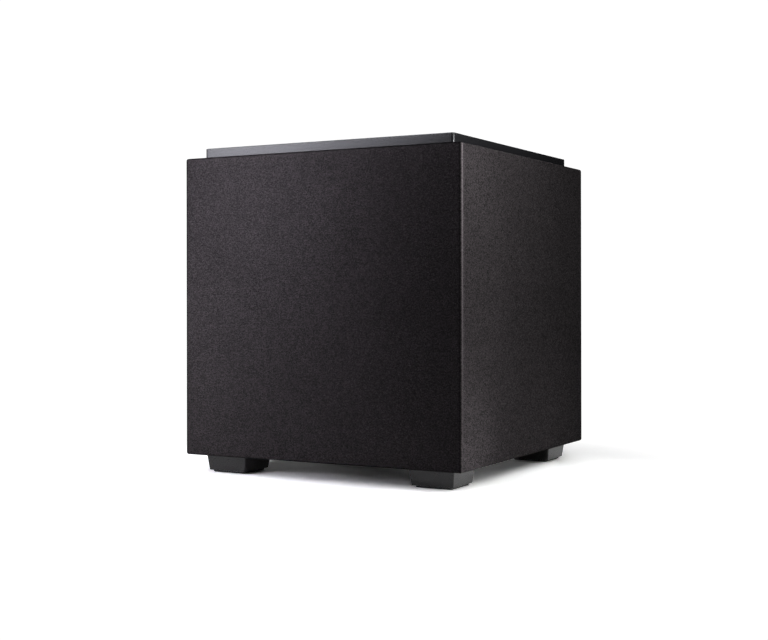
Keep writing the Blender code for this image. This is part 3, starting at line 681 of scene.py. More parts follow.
def lay_flat(maker, rings):
    """UVs in metres: along the cloth's way round, and down its height."""
    longest = max(rings, key=lambda ring: ring[0].x)
    round_lengths = [0.0]
    for near, far in zip(longest, longest[1:] + longest[:1]):
        round_lengths.append(round_lengths[-1] + (far - near).length)
    drops = [0.0]
    for upper, lower in zip(rings, rings[1:]):
        drops.append(drops[-1] + (lower[10] - upper[10]).length)
    layer = maker.loops.layers.uv.new("cloth")
    count = len(rings[0])
    maker.verts.index_update()
    for face in maker.faces:
        columns = [loop.vert.index % count for loop in face.loops]
        wraps = max(columns) - min(columns) > 1
        for loop, column in zip(face.loops, columns):
            row = loop.vert.index // count
            round_place = count if wraps and column == 0 else column
            loop[layer].uv = (round_lengths[round_place], drops[row])


def stitch(length, radius):
    """One short raised stitch along local X."""
    spots = ((-1 / 2, -radius), (-1 / 3, 0), (1 / 3, 0), (1 / 2, -radius))
    return swept([(length * share, 0, height) for share, height in spots], radius)


def build_seam():
    """The sleeve's closing seam at the back, above and below the amplifier plate."""
    pitch = 0.0032
    face_y = BODY_HIGH.y - 0.00005
    runs = (
        (BODY_LOW.z + 0.004, AMP_LOW.z - 0.002),
        (AMP_HIGH.z + 0.002, BODY_HIGH.z - 0.004),
    )
    parts = []
    for low, high in runs:
        count = int((high - low) / pitch)
        for k in range(count):
            height = low + pitch * (k + 0.5)
            for x in (-0.0018, 0.0018):
                spot = facing((x, face_y, height), (0, 1, 0), up=(1, 0, 0))
                parts.append((stitch(pitch * 0.72, 0.00022), spot))
    piece("sleeve_seam", gathered(parts), "woven_cloth", look=RIM_STITCH)


# Top plate and feet


def build_top_plate():
    """A slab with softened edges on a smaller step that makes the shadow gap."""
    low, high = corners("top_plate")
    half = (high.x - low.x) / 2
    step = 0.0095
    edge = 0.0007
    gap_top = BODY_HIGH.z + 0.0012
    steps = [(half - step, half - step, low.z), (half - step, half - step, gap_top)]
    steps += edged(half, half, gap_top, high.z, edge)
    across = [k / 6 - 1 for k in range(1, 12)]
    place = shifted(BODY_MIDDLE.x, BODY_MIDDLE.y)
    cover = slab(steps, 0.0032, across)
    piece("top_cover", cover, "satin_plate", stands_for=("top_plate",), place=place)


def quarter_arc(centre, reach, rise, steps):
    """A quarter of an oval, from the outermost point up to the centre line."""
    turns = [math.radians(90 * k / steps) for k in range(steps)]
    arc = [(centre[0] + reach * math.cos(turn), centre[1] + rise * math.sin(turn)) for turn in turns]
    return arc + [(centre[0], centre[1] + rise)]


def round_of(pairs, radius):
    """Points on a circle in the same directions as the pairs, so that the two can be joined."""
    turns = [math.atan2(y, x) for x, y in pairs]
    return [(radius * math.cos(turn), radius * math.sin(turn)) for turn in turns]


def well_loft(steps, corner, wells):
    """A solid through rounded squares, going on into a round well from its lower face."""
    across = (-0.5, 0.0, 0.5)
    rings = []
    for radius, height in wells[::-1]:
        pairs = round_of(rounded(1.0, 1.0, 0.1, across), radius)
        rings.append([(x, y, height) for x, y in pairs])
    for half, height in steps:
        pairs = rounded(half, half, min(corner, half * 0.9), across)
        rings.append([(x, y, height) for x, y in pairs])
    return lofted(rings)


def build_foot(name):
    """A tapered moulded foot with a screw well, its rubber pad, and the screw."""
    low, high = corners("foot_" + name)
    pad_low, pad_high = corners("foot_pad_" + name)
    spot = shifted(middle("foot_" + name).x, middle("foot_" + name).y)
    top = (high.x - low.x) / 2
    bottom = top - 0.0022
    shoulder = 0.0207
    well = 0.005
    well_top = 0.012
    steps = [
        (bottom - 0.0005, low.z), (bottom - 0.0001, low.z + 0.0002), (bottom, low.z + 0.0006),
        (top - 0.0001, shoulder - 0.0016), (top, shoulder - 0.0012), (top, shoulder - 0.0003),
        (top - 0.0003, shoulder), (0.0150, shoulder), (0.0150, high.z),
    ]
    wells = [(well + 0.0004, low.z), (well, low.z + 0.0004), (well, well_top)]
    foot = well_loft(steps, 0.0014, wells)
    shell = f"foot_shell_{name}"
    nodes = (f"foot_{name}",)
    piece(shell, foot, "moulded_black", stands_for=nodes, place=spot, sharp=28, look=FOOT_LOOK)
    pad_half = (pad_high.x - pad_low.x) / 2
    steps = [
        (pad_half - 0.0005, pad_low.z), (pad_half, pad_low.z + 0.0005),
        (pad_half, pad_high.z - 0.0001), (pad_half - 0.0001, pad_high.z),
    ]
    rubber = pad_ring(steps, 0.0025, well, pad_low.z, pad_high.z)
    piece(f"foot_rubber_{name}", rubber, "soft_rubber", stands_for=(f"foot_pad_{name}",), place=spot)
    screw_spot = spot @ shifted(z=well_top) @ FLIPPED
    return gathered([(screw(0.0040, 0.0022, 0.006), screw_spot)]), shifted()


def pad_ring(steps, corner, hole, low, high):
    """A square pad with a round hole through it."""
    across = (-0.5, 0.0, 0.5)
    outer = []
    for half, height in steps:
        outer.append([(x, y, height) for x, y in rounded(half, half, corner, across)])
    circle = round_of(rounded(1.0, 1.0, 0.1, across), hole)
    inner = [[(x, y, height) for x, y in circle] for height in (high, low)]
    return looped(outer + inner)


# Fasteners


def lobed(radius, height, lobes, depth, count=48):
    """Points round a recess with lobes, as in a hexagon or a cross."""
    points = []
    for k in range(count):
        turn = math.tau * k / count
        reach = radius * (1 - depth * abs(math.sin(lobes * turn / 2)) ** 0.8)
        points.append((reach * math.cos(turn), reach * math.sin(turn), height))
    return points


def screw(radius, rise, shank):
    """A pan-head screw with a cross recess and a short plain shank; its head sits on local Z = 0."""
    core = radius * 0.5
    rings = [lobed(core * 0.6, -shank, 4, 0.0), lobed(core, -shank + core * 0.5, 4, 0.0)]
    rings += [lobed(core, 0.0, 4, 0.0), lobed(radius * 0.96, 0.0, 4, 0.0)]
    for k in range(5):
        turn = math.radians(12 + 54 * k / 4)
        rings.append(lobed(radius * math.cos(turn) ** 0.6, rise * math.sin(turn) ** 0.9, 4, 0.0))
    rings.append(lobed(radius * 0.53, rise * 0.97, 4, 0.0))
    rings.append(lobed(radius * 0.50, rise * 0.97, 4, 0.62))
    rings.append(lobed(radius * 0.40, rise * 0.30, 4, 0.62))
    return lofted(rings)


def screw_circle(count, reach, radius, rise, shank, start=0.0):
    """Screws evenly round local Z."""
    parts = []
    for k in range(count):
        turn = start + math.tau * k / count
        spot = shifted(reach * math.cos(turn), reach * math.sin(turn), 0.0, turn * 3.7)
        parts.append((screw(radius, rise, shank), spot))
    return gathered(parts)


# Drive units: local +Z points out of the cabinet


def softened(outline, edge, closed=True):
    """An outline of pairs with each corner replaced by a short arc."""
    soft = []
    count = len(outline)
    for k, pair in enumerate(outline):
        if not closed and k in (0, count - 1):
            soft.append(pair)
            continue
        here = Vector(pair)
        back = Vector(outline[k - 1]) - here
        ahead = Vector(outline[(k + 1) % count]) - here
        reach = min(edge, back.length * 0.45, ahead.length * 0.45)
        start = here + back.normalized() * reach
        end = here + ahead.normalized() * reach
        soft += [tuple(start), tuple((start + end + 2 * here) / 4), tuple(end)]
    return soft


def rolled_profile():
    """A half roll between two flat lands, of even thickness, as a closed outline."""
    centre = sum(ROLL_RADII) / 2
    radius = (ROLL_RADII[0] - ROLL_RADII[1]) / 2
    half = SURROUND_THICKNESS / 2
    base = 0.0003 + half
    steps = 20
    upper = [(0.1190, base + half * 0.6), (0.1187, base + half)]
    lower = [(0.1190, base - half)]
    for k in range(steps + 1):
        turn = math.pi * k / steps
        rise = (radius - half) * math.sin(turn)
        upper.append((centre + (radius + half) * math.cos(turn), base + half + rise))
        lower.append((centre + (radius - half) * math.cos(turn), base - half + rise))
    upper += [(0.0878, base + half), (0.0875, base + half * 0.6)]
    lower.append((0.0875, base - half))
    return upper + lower[::-1]


def spider_profile():
    """Even corrugations between an inner and an outer land, as a closed outline."""
    centre = -0.0422
    half = 0.0004
    outer, inner = SPIDER_RADII
    waves = 5
    steps = 8 * waves
    line = [(COIL_RADIUS + 0.0004, centre)]
    for k in range(steps + 1):
        share = k / steps
        height = centre + 0.0012 * math.sin(math.tau * waves * share)
        line.append((inner + (outer - inner) * share, height))
    line.append((0.0765, centre))
    upper = [(radius, height + half) for radius, height in line]
    lower = [(radius, height - half) for radius, height in line]
    return upper + lower[::-1]


def flexing_ring(node, profile, place, slot):
    """A ring turned from a profile in sectors that are joined into one mesh, in place of a CAD node
    that is hidden."""
    sweep = math.tau / SECTORS
    sectors = []
    for k in range(SECTORS):
        maker = turned(profile, ring=True, segments=6, sweep=sweep)
        sector = made(f"{node}_{k}", maker, LOOKS[slot], place @ shifted(turn=k * sweep), sharp=180)
        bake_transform(sector)
        sectors.append(sector)
    with bpy.context.temp_override(active_object=sectors[0], selected_editable_objects=sectors):
        bpy.ops.object.join()
    whole = sectors[0]
    whole.name = "flexing_" + node
    maker = bmesh.new()
    maker.from_mesh(whole.data)
    bmesh.ops.remove_doubles(maker, verts=maker.verts, dist=2e-6)
    bmesh.ops.recalc_face_normals(maker, faces=maker.faces)
    maker.to_mesh(whole.data)
    maker.free()
    whole.data.shade_smooth()
    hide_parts(node)


def build_basket():
    """A flange, a windowed cone wall with a ledge for the spider, and a base for the motor."""
    profile = [
        (WOOFER_FLANGE, 0.0), (WOOFER_FLANGE, -0.004), (0.1145, -0.004), (0.082, -0.044),
        (0.069, -0.052), (0.069, -0.064), (0.030, -0.064), (0.030, -0.060), (0.064, -0.060),
        (0.064, -0.047), (0.068, -0.043), (0.079, -0.043), (0.079, -0.0405), (0.1105, -0.003),
        (0.1105, 0.0),
    ]
    windows = []
    for k in range(6):
        window = slab([(0.0135, 0.031, 0.070), (0.0135, 0.031, 0.130)], 0.005, centre=(0.0225, 0.0))
        window.transform(shifted(turn=math.tau * k / 6) @ LYING)
        windows.append(window)
    basket = carved(turned(softened(profile, 0.0008), ring=True), *windows)
    piece("basket_casting", basket, "cast_frame", stands_for=("woofer_basket",), place=WOOFER_PLACE)


def cone_height(radius):
    """The woofer cone's face, flaring a little towards its rim."""
    neck = COIL_RADIUS + 0.0004
    share = max(0.0, (radius - neck) / (0.088 - neck))
    return -CONE_DEPTH + (CONE_DEPTH - 0.002) * share**0.9


def build_woofer_cone():
    thickness = 0.0016
    neck = COIL_RADIUS + 0.0004
    steps = 24
    upper = [(0.0935, -0.0003), (0.0890, -0.0003), (0.0884, -0.0006)]
    lower = [(0.0935, -0.0019), (0.0890, -0.0019)]
    for k in range(steps + 1):
        radius = 0.088 + (neck - 0.088) * k / steps
        upper.append((radius, cone_height(radius)))
        lower.append((radius, cone_height(radius) - thickness * 1.15))
    cone = turned(upper + lower[::-1], ring=True)
    piece("cone_shell", cone, "cone_paper", "woofer_moving", ("woofer_cone",), WOOFER_PLACE)


def build_dust_cap():
    rim = 0.038
    rise = 0.011
    thickness = 0.0012
    base = cone_height(rim) + 0.0006
    outer = quarter_arc((0.0, base), rim, rise, 14)
    inner = quarter_arc((0.0, base), rim - thickness, rise - thickness, 14)
    cap = turned(inner[::-1] + outer)
    piece("dust_cap_dome", cap, "cone_paper", "woofer_moving", ("woofer_dust_cap",), WOOFER_PLACE)


def build_coil():
    """The former, and the wire as close round turns on it."""
    inside = COIL_RADIUS + 0.0003
    low = -0.074
    high = -0.058
    turns = 26
    pitch = (high - low) / turns
    profile = [(inside, high), (inside, low)]
    for k in range(turns):
        centre = low + pitch * (k + 0.5)
        for share in (-0.36, -0.18, 0.0, 0.18, 0.36):
            bulge = 0.00030 * math.cos(math.pi * share)
            profile.append((inside + 0.0012 + bulge, centre + pitch * share))
    former = tube(COIL_RADIUS - 0.0008, COIL_RADIUS, -0.078, -0.033, 0.0001)
    piece("former_tube", former, "former_film", "woofer_moving", ("voice_coil_former",), WOOFER_PLACE)
    coil = turned(profile, ring=True, segments=64)
    piece("coil_turns", coil, "copper_wire", "woofer_moving", ("voice_coil_winding",), WOOFER_PLACE)


def build_motor():
    """Front plate, ring magnet, and a yoke with a vented pole."""
    yoke = [
        (0.006, -0.1019), (0.060, -0.1019), (0.060, -0.0929), (0.0234, -0.0929), (0.0234, -0.062),
        (0.006, -0.062),
    ]
    front_plate = tube(0.0286, 0.060, -0.0723, -0.0643, 0.0006)
    magnet = tube(0.036, 0.065, -0.0926, -0.0726, 0.0012)
    yoke = turned(softened(yoke, 0.0008), ring=True)
    for name, maker, slot, node in (
        ("front_plate_ring", front_plate, "plated_steel", "motor_front_plate"),
        ("magnet_ring", magnet, "ferrite", "motor_magnet"),
        ("yoke_and_pole", yoke, "plated_steel", "motor_yoke"),
    ):
        piece(name, maker, slot, stands_for=(node,), place=WOOFER_PLACE)


def build_woofer():
    place = WOOFER_PLACE
    flexing_ring("woofer_surround", rolled_profile(), place, "soft_rubber")
    flexing_ring("woofer_spider", spider_profile(), place, "spider_cloth")
    build_basket()
    build_woofer_cone()
    build_dust_cap()
    build_coil()
    build_motor()
    screws = screw_circle(8, 0.1231, 0.0032, 0.0018, 0.014, start=math.radians(22.5))
    piece("woofer_screws", screws, "plated_steel", place=WOOFER_PLACE)


def build_passive(side):
    """A dished cone with a bolted weight, on a flexing surround in a shallow frame."""
    place = PASSIVE_PLACES[side]
    body = f"passive_{side}"
    surround = f"passive_surround_{side}"
    frame_profile = [
        (PASSIVE_FLANGE, 0.0), (PASSIVE_FLANGE, -0.004), (0.1135, -0.004), (0.1135, -0.013),
        (0.1105, -0.013), (0.1105, 0.0),
    ]
    dish = [
        (0.0, -0.0063), (0.080, -0.0063), (0.0875, -0.0026), (0.0935, -0.0026), (0.0935, -0.0003),
        (0.087, -0.0003), (0.080, -0.0033), (0.0, -0.0033),
    ]
    flexing_ring(surround, rolled_profile(), place, "soft_rubber")
    ring = turned(softened(frame_profile, 0.0005), ring=True)
    piece(f"passive_ring_{side}", ring, "cast_frame", stands_for=(f"passive_frame_{side}",), place=place)
    cone = turned(softened(dish, 0.0010, closed=False))
    piece(f"passive_dish_{side}", cone, "cone_paper", body, (f"passive_cone_{side}",), place)
    weight = tube(0.003, 0.032, -0.0166, -0.0066, 0.0008)
    piece(f"weight_disc_{side}", weight, "plated_steel", body, (f"passive_weight_{side}",), place)
    bolt = screw(0.0055, 0.0024, 0.0)
    bolt_place = place @ shifted(z=-0.0167) @ FLIPPED
    piece(f"weight_bolt_{side}", bolt, "plated_steel", body, place=bolt_place)
    screws = screw_circle(8, 0.1222, 0.0026, 0.0015, 0.012, start=math.radians(22.5))
    piece(f"passive_screws_{side}", screws, "plated_steel", place=place)


# Amplifier: spots on its plate have local +Z out of the back and local +Y up


def on_plate(x, z):
    return facing((x, AMP_HIGH.y, z), (0, 1, 0))


def on_plate_at(node):
    centre = middle(node)
    return on_plate(centre.x, centre.z)


def build_knob(name):
    """A fluted knob with a dished face and a pointer, on its pot."""
    body = f"{name}_knob"
    place = on_plate_at(body)
    profile = [
        (0.0, -0.0105), (0.0030, -0.0105), (0.0030, 0.0010), (0.0122, 0.0010), (0.0125, 0.0013),
        (0.0125, 0.0028), (0.0122, 0.0032), (0.0113, 0.0036), (0.0112, 0.0042, 0.0002),
        (0.0111, 0.0048, 0.0006), (0.0107, 0.0132, 0.0006), (0.0105, 0.0140, 0.0002),
        (0.0101, 0.0145), (0.0097, 0.0147), (0.0092, 0.0147), (0.0088, 0.0145), (0.0086, 0.0142),
        (0.0, 0.0141),
    ]
    knob = turned(profile, segments=144, flutes=24)
    piece(f"{name}_knob_cap", knob, "moulded_black", body, (body,), place)
    pointer = slab(edged(0.0004, 0.0027, 0.0141, 0.0145, 0.0001), 0.0003, centre=(0.0, 0.0056))
    piece(f"{name}_pointer", pointer, "switch_white", body, place=place)
    pot = [
        (0.0, -0.0140), (0.0080, -0.0140), (0.0080, -0.0033), (0.0039, -0.0033), (0.0039, 0.0007),
        (0.0033, 0.0007), (0.0033, -0.0110), (0.0, -0.0110),
    ]
    maker = turned(softened(pot, 0.0003, closed=False), segments=64)
    piece(f"{name}_pot_can", maker, "pot_metal", stands_for=(f"{name}_pot",), place=place)


def dial(low, high):
    """Ticks round a knob's whole travel, longer at its ends and middle, with a figure at each end."""
    parts = []
    ticks = 10
    for k in range(ticks + 1):
        turn = math.radians(-150 + 300 * k / ticks)
        reach = 0.0013 if k % 5 == 0 else 0.0008
        spot = shifted(turn=-turn) @ shifted(y=0.0146 + reach)
        parts.append((slab(edged(0.00022, reach, 0.0, FIGURE_RELIEF, 0.00002), 0.0001), spot))
    for figures, way in ((low, -1), (high, 1)):
        spot = shifted(way * 0.0115, -0.0172, FIGURE_RELIEF / 2)
        parts.append((lettering(figures, 0.0042, FIGURE_RELIEF), spot))
    return gathered(parts)


def build_markings():
    """Figures and ticks beside the controls."""
    parts = [
        (dial("0", "10"), on_plate_at("volume_knob")),
        (dial("40", "150"), on_plate_at("crossover_knob")),
    ]
    switch = on_plate_at("phase_switch") @ shifted(x=-0.0020, z=FIGURE_RELIEF / 2)
    for figures, shift in (("0", 0.0095), ("180", -0.0105)):
        parts.append((lettering(figures, 0.0034, FIGURE_RELIEF), switch @ shifted(x=shift)))
    for node in ("phase_switch", "auto_switch"):
        spot = on_plate_at(node) @ shifted(x=-0.0020)
        parts.append((frame_line(0.0068, 0.0040, 0.00025), spot))
    parts.append((frame_line(0.0205, 0.0085, 0.00025), on_plate_at("rca_jacks")))
    piece("plate_markings", gathered(parts), "switch_white")


def frame_line(half_x, half_y, width):
    """A thin raised line round a rounded rectangle."""
    rings = []
    for inset, height in ((0.0, 0.0), (0.0, FIGURE_RELIEF), (width, FIGURE_RELIEF), (width, 0.0)):
        pairs = rounded(half_x - inset, half_y - inset, 0.0012 - inset)
        rings.append([(x, y, height) for x, y in pairs])
    return looped(rings)


def build_slide_switch(name):
    """A white lever with ribs, on a wider foot behind the plate."""
    steps = [(0.0100, 0.0045, -0.0070), (0.0100, 0.0045, -0.0034), (0.0021, 0.0019, -0.0034)]
    steps += edged(0.0021, 0.0019, -0.0030, 0.0022, 0.0003)[4:]
    parts = [(slab(steps, 0.0004), shifted())]
    for k in range(3):
        rib = slab(edged(0.00028, 0.0016, 0.0021, 0.0026, 0.00015), 0.0002)
        parts.append((rib, shifted(x=0.0011 * (k - 1))))
    piece(f"{name}_lever", gathered(parts), "switch_white", name, (name,), on_plate_at(name))


def build_rocker():
    """The power rocker, hollowed along its face, with a bar and a ring for on and off."""
    place = on_plate_at("power_switch_body") @ Matrix.Rotation(math.radians(-7.0), 4, "X")
    half = 0.0082
    lowest = 0.0008
    dish = 0.0010
    steps = 16
    face = []
    for k in range(steps + 1):
        share = 2 * k / steps - 1
        face.append((half * share, lowest + dish * share**2))
    under = [(0.0078, -0.0022), (0.0028, -0.0045), (-0.0028, -0.0045), (-0.0078, -0.0022)]
    outline = softened(face + under, 0.00025)
    ends = ((0.0053, 0.965), (0.0051, 0.99), (0.0048, 1.0))
    rings = []
    for x, scale in [(-x, scale) for x, scale in ends] + list(ends[::-1]):
        rings.append([(x, y * scale, z * scale) for y, z in outline])
    piece("rocker_cap", lofted(rings), "moulded_black", "power_rocker", ("power_rocker",), place)
    bar = slab(edged(0.00025, 0.0011, 0.0, 0.00010, 0.00003), 0.0001)
    ring = tube(0.00080, 0.00115, 0.0, 0.00010, 0.00003, segments=32)
    marks = []
    for mark, y in ((bar, 0.0046), (ring, -0.0046)):
        height = lowest + dish * (y / half) ** 2 + 0.00001
        slope = math.atan(2 * dish * y / half**2)
        marks.append((mark, shifted(y=y, z=height) @ Matrix.Rotation(slope, 4, "X")))
    piece("rocker_marks", gathered(marks), "switch_white", "power_rocker", place=place)


def build_jacks():
    """Two phono sockets: plated sleeves with a red and a white insulator on a moulded base."""
    place = on_plate_at("rca_jacks")
    base = slab(edged(0.018, 0.008, -0.0133, -0.0033, 0.0005), 0.0008)
    piece("jack_base", base, "jack_moulding", stands_for=("rca_jacks",), place=place)
    sleeves = []
    for way, look in ((-1, RED_RING), (1, None)):
        spot = shifted(x=way * 0.010)
        sleeves.append((tube(0.0033, 0.0041, -0.0033, 0.0080, 0.00015, segments=48), spot))
        insert = tube(0.0017, 0.00325, -0.0033, 0.0074, 0.0003, segments=48)
        name = "jack_insert_red" if look else "jack_insert_white"
        piece(name, insert, "switch_white", place=place @ spot, look=look)
    piece("jack_sleeves", gathered(sleeves), "plated_steel", place=place)


def inlet_shape():
    """A flanged shell with a pocket for the plug and a slot for the fuse drawer."""
    steps = [(0.0133, 0.0157, -0.022), (0.0136, 0.0160, -0.0217), (0.0136, 0.0160, 0.0003)]
    steps += edged(0.0250, 0.0180, 0.0003, 0.0028, 0.0005)
    half = 0.0120
    top = 0.0138
    chamfer = 0.0045
    outline = [
        (-half, -0.0026), (half, -0.0026), (half, top - chamfer), (half - chamfer, top),
        (chamfer - half, top), (-half, top - chamfer),
    ]
    pocket = lofted([[(x, y, z) for x, y in softened(outline, 0.0008)] for z in (-0.0165, 0.010)])
    drawer_slot = [(0.0115, 0.0040, -0.0205), (0.0115, 0.0040, 0.010)]
    drawer_slot = slab(drawer_slot, 0.0003, centre=(0.0, DRAWER_HEIGHT))
    return carved(slab(steps, 0.0020), pocket, drawer_slot)


def build_inlet():
    """A mains inlet with plated pins and two screws."""
    place = on_plate_at("mains_inlet")
    piece("inlet_shell", inlet_shape(), "moulded_black", stands_for=("mains_inlet",), place=place)
    pins = []
    for x, y in ((-0.007, 0.0052), (0.0, 0.0088), (0.007, 0.0052)):
        blade = slab(edged(0.0010, 0.0020, -0.0168, -0.0010, 0.0005), 0.0004)
        pins.append((blade, shifted(x, y)))
    piece("inlet_pins", gathered(pins), "plated_steel", place=place)
    screws = []
    for way in (-1, 1):
        screws.append((screw(0.0028, 0.0012, 0.006), shifted(x=way * 0.020, z=0.0028)))
    piece("inlet_screws", gathered(screws), "plated_steel", place=place)


def build_fuse_drawer():
    """A tray with a finger groove, holding a glass fuse with a plated cap at each end."""
    place = on_plate_at("mains_inlet")
    body = "fuse_drawer"
    height = DRAWER_HEIGHT
    block = slab(edged(0.0112, 0.0037, -0.0200, 0.0038, 0.0003), 0.0006, centre=(0.0, height))
    hollow = [(0.0100, 0.0045, -0.0185), (0.0100, 0.0045, -0.0020)]
    hollow = slab(hollow, 0.0003, centre=(0.0, height + 0.0020))
    groove = [(0.0070, 0.0009, 0.0028), (0.0074, 0.0013, 0.0050)]
    groove = slab(groove, 0.0003, centre=(0.0, height + 0.0010))
    tray = carved(block, hollow, groove)
    piece("fuse_tray", tray, "moulded_black", body, ("fuse_drawer",), place)
    lying = place @ shifted(y=height + 0.0008, z=-0.0100) @ LYING
    glass = tube(0.0018, 0.0022, -0.0088, 0.0088, 0.0001, segments=32)
    piece("fuse_glass", glass, "plated_steel", body, place=lying, look=GLASS_LOOK)
    profile = [(0.0, 0.0), (0.0022, 0.0), (0.0025, 0.0003)]
    profile += [(0.0025, 0.0042), (0.0022, 0.0042), (0.0, 0.0040)]
    caps = []
    for reach, turn in ((-0.0093, shifted()), (0.0093, FLIPPED)):
        caps.append((turned(profile, segments=32), shifted(z=reach) @ turn))
    piece("fuse_caps", gathered(caps), "plated_steel", body, place=lying)


def build_light():
    place = on_plate_at("status_light")
    dome = [(0.0, -0.006), (0.0015, -0.006)] + quarter_arc((0.0, 0.0002), 0.0015, 0.0006, 6)
    lens = turned(dome, segments=32)
    piece("light_dome", lens, "light_lens", stands_for=("status_light",), place=place)
    bezel = tube(0.0019, 0.0029, 0.0, 0.0005, 0.0002, segments=48)
    piece("light_bezel", bezel, "moulded_black", place=place)


def build_plate_screws():
    """Ten screws round the edge of the amplifier plate."""
    inset = 0.0065
    half_x = (AMP_HIGH.x - AMP_LOW.x) / 2 - inset
    half_z = (AMP_HIGH.z - AMP_LOW.z) / 2 - inset
    spots = [(x, z) for x in (-half_x, half_x) for z in (-half_z, -half_z / 3, half_z / 3, half_z)]
    spots += [(0.0, -half_z), (0.0, half_z)]
    parts = []
    for k, (x, z) in enumerate(spots):
        place = on_plate(x, BODY_MIDDLE.z + z) @ shifted(turn=k * 1.1)
        parts.append((screw(0.0034, 0.0017, 0.012), place))
    piece("amp_plate_screws", gathered(parts), "plated_steel")


def taped_toroid(hole, half, depth):
    """A ring of rounded section, wrapped in overlapping turns of tape."""
    bend = 0.007
    section = []
    near = hole + bend
    far = half - bend
    spots = ((near, -bend), (far, -bend), (far, bend - depth), (near, bend - depth))
    for quarter, (radius, height) in zip((2, 1, 0, 3), spots):
        for step in range(7):
            turn = math.radians(90 * quarter - 90 * step / 6)
            section.append((radius + bend * math.cos(turn), height + bend * math.sin(turn)))
    centre = Vector(((hole + half) / 2, -depth / 2))
    turns = 34
    rings = []
    for k in range(turns * 6):
        angle = math.tau * k / (turns * 6)
        lift = 0.0004 * (k % 6) / 5
        ring = []
        for pair in section:
            out = (Vector(pair) - centre).normalized() * (lift - 0.0004)
            radius = pair[0] + out.x
            ring.append((radius * math.cos(angle), radius * math.sin(angle), pair[1] + out.y))
        rings.append(ring)
    return looped(rings)


def build_transformer():
    """A taped toroid under a washer, held by one bolt."""
    low, high = corners("power_transformer")
    centre = middle("power_transformer")
    depth = high.y - low.y
    place = facing((centre.x, high.y, centre.z), (0, 1, 0))
    toroid = taped_toroid(0.014, (high.x - low.x) / 2, depth)
    piece("taped_toroid", toroid, "winding_tape", stands_for=("power_transformer",), place=place)
    inner = place @ shifted(z=-depth - 0.0002) @ FLIPPED
    washer = [(0.0, 0.0), (0.0184, 0.0), (0.019, 0.0005)]
    washer += [(0.019, 0.0010), (0.0184, 0.0015), (0.0, 0.0015)]
    piece("toroid_washer", turned(washer), "plated_steel", place=inner)
    bolt = screw(0.0055, 0.0035, 0.0)
    piece("toroid_bolt", bolt, "plated_steel", place=inner @ shifted(z=0.0015))


def build_capacitor():
    """A sleeved can with a crimped rim and a slightly sunk top."""
    low, high = corners("filter_capacitor")
    centre = middle("filter_capacitor")
    radius = (high.x - low.x) / 2
    tall = high.y - low.y
    place = facing((centre.x, high.y, centre.z), (0, -1, 0))
    profile = [
        (0.0, 0.0), (radius - 0.0006, 0.0), (radius, 0.0006), (radius, 0.0030),
        (radius - 0.0009, 0.0038), (radius, 0.0046), (radius, tall - 0.0008),
        (radius - 0.0008, tall), (radius - 0.0016, tall - 0.0003), (0.0, tall - 0.0003),
    ]
    piece("capacitor_can", turned(profile), "can_sleeve", stands_for=("filter_capacitor",), place=place)


def on_board(x, z):
    """A spot on the board's inner face, with local +Z into the cabinet."""
    return facing((x, corners("amp_board")[0].y, z), (0, -1, 0))


# Board chips and blocks: x, z, half width, half height, thickness
CHIPS = (
    (0.028, 0.268, 0.0090, 0.0045, 0.0030),
    (0.054, 0.268, 0.0050, 0.0050, 0.0022),
    (0.028, 0.288, 0.0050, 0.0035, 0.0022),
    (0.054, 0.288, 0.0065, 0.0040, 0.0095),
    (-0.004, 0.268, 0.0060, 0.0060, 0.0110),
    (0.030, 0.225, 0.0065, 0.0050, 0.0045),
)


def resistor():
    """A small waisted barrel along local Z."""
    barrel = [(0.0, -0.003), (0.0011, -0.003), (0.0009, -0.0016)]
    barrel += [(radius, -height) for radius, height in barrel[::-1]]
    return turned(softened(barrel, 0.0003, closed=False), segments=24)


def build_board_parts():
    """Resistors, small capacitors, chips, the lead's terminal block and the board's posts."""
    resistors = []
    for row in range(5):
        for column in range(4):
            spot = on_board(-0.066 + 0.0115 * column, 0.212 + 0.0085 * row)
            lying = spot @ shifted(z=0.0014) @ LYING
            resistors.append((resistor(), lying))
    piece("board_resistors", gathered(resistors), "circuit_board", look=RESISTOR_LOOK)
    can = [(0.0, 0.0002), (0.0024, 0.0002), (0.0026, 0.0006)]
    can += [(0.0026, 0.0066), (0.0023, 0.0070), (0.0, 0.0069)]
    cans = []
    for row in range(4):
        for column in range(3):
            spot = on_board(-0.011 + 0.0105 * column, 0.212 + 0.0095 * row)
            cans.append((turned(can, segments=32), spot))
    piece("board_cans", gathered(cans), "can_sleeve")
    chips = []
    for x, z, half_x, half_y, tall in CHIPS:
        chips.append((slab(edged(half_x, half_y, 0.0003, tall, 0.0003), 0.0004), on_board(x, z)))
    piece("board_chips", gathered(chips), "circuit_board", look=CHIP_LOOK)
    board_back = corners("amp_board")[1].y
    reach = AMP_LOW.y - board_back
    profile = [(0.0, 0.0002), (0.0030, 0.0002), (0.0030, reach - 0.0002), (0.0, reach - 0.0002)]
    posts = []
    for x in (-0.0700, 0.0700):
        for z in (0.2080, 0.2980):
            posts.append((turned(profile, segments=6), facing((x, board_back, z), (0, 1, 0))))
            posts.append((screw(0.0028, 0.0014, 0.0), on_board(x, z)))
    piece("board_posts", gathered(posts), "terminal_brass")


def build_amplifier():
    for name in ("volume", "crossover"):
        build_knob(name)
    for name in ("phase_switch", "auto_switch"):
        build_slide_switch(name)
    build_markings()
    build_rocker()
    build_jacks()
    build_inlet()
    build_fuse_drawer()
    build_light()
    build_plate_screws()
    build_transformer()
    build_capacitor()
    build_board_parts()


# Camera, floor and light


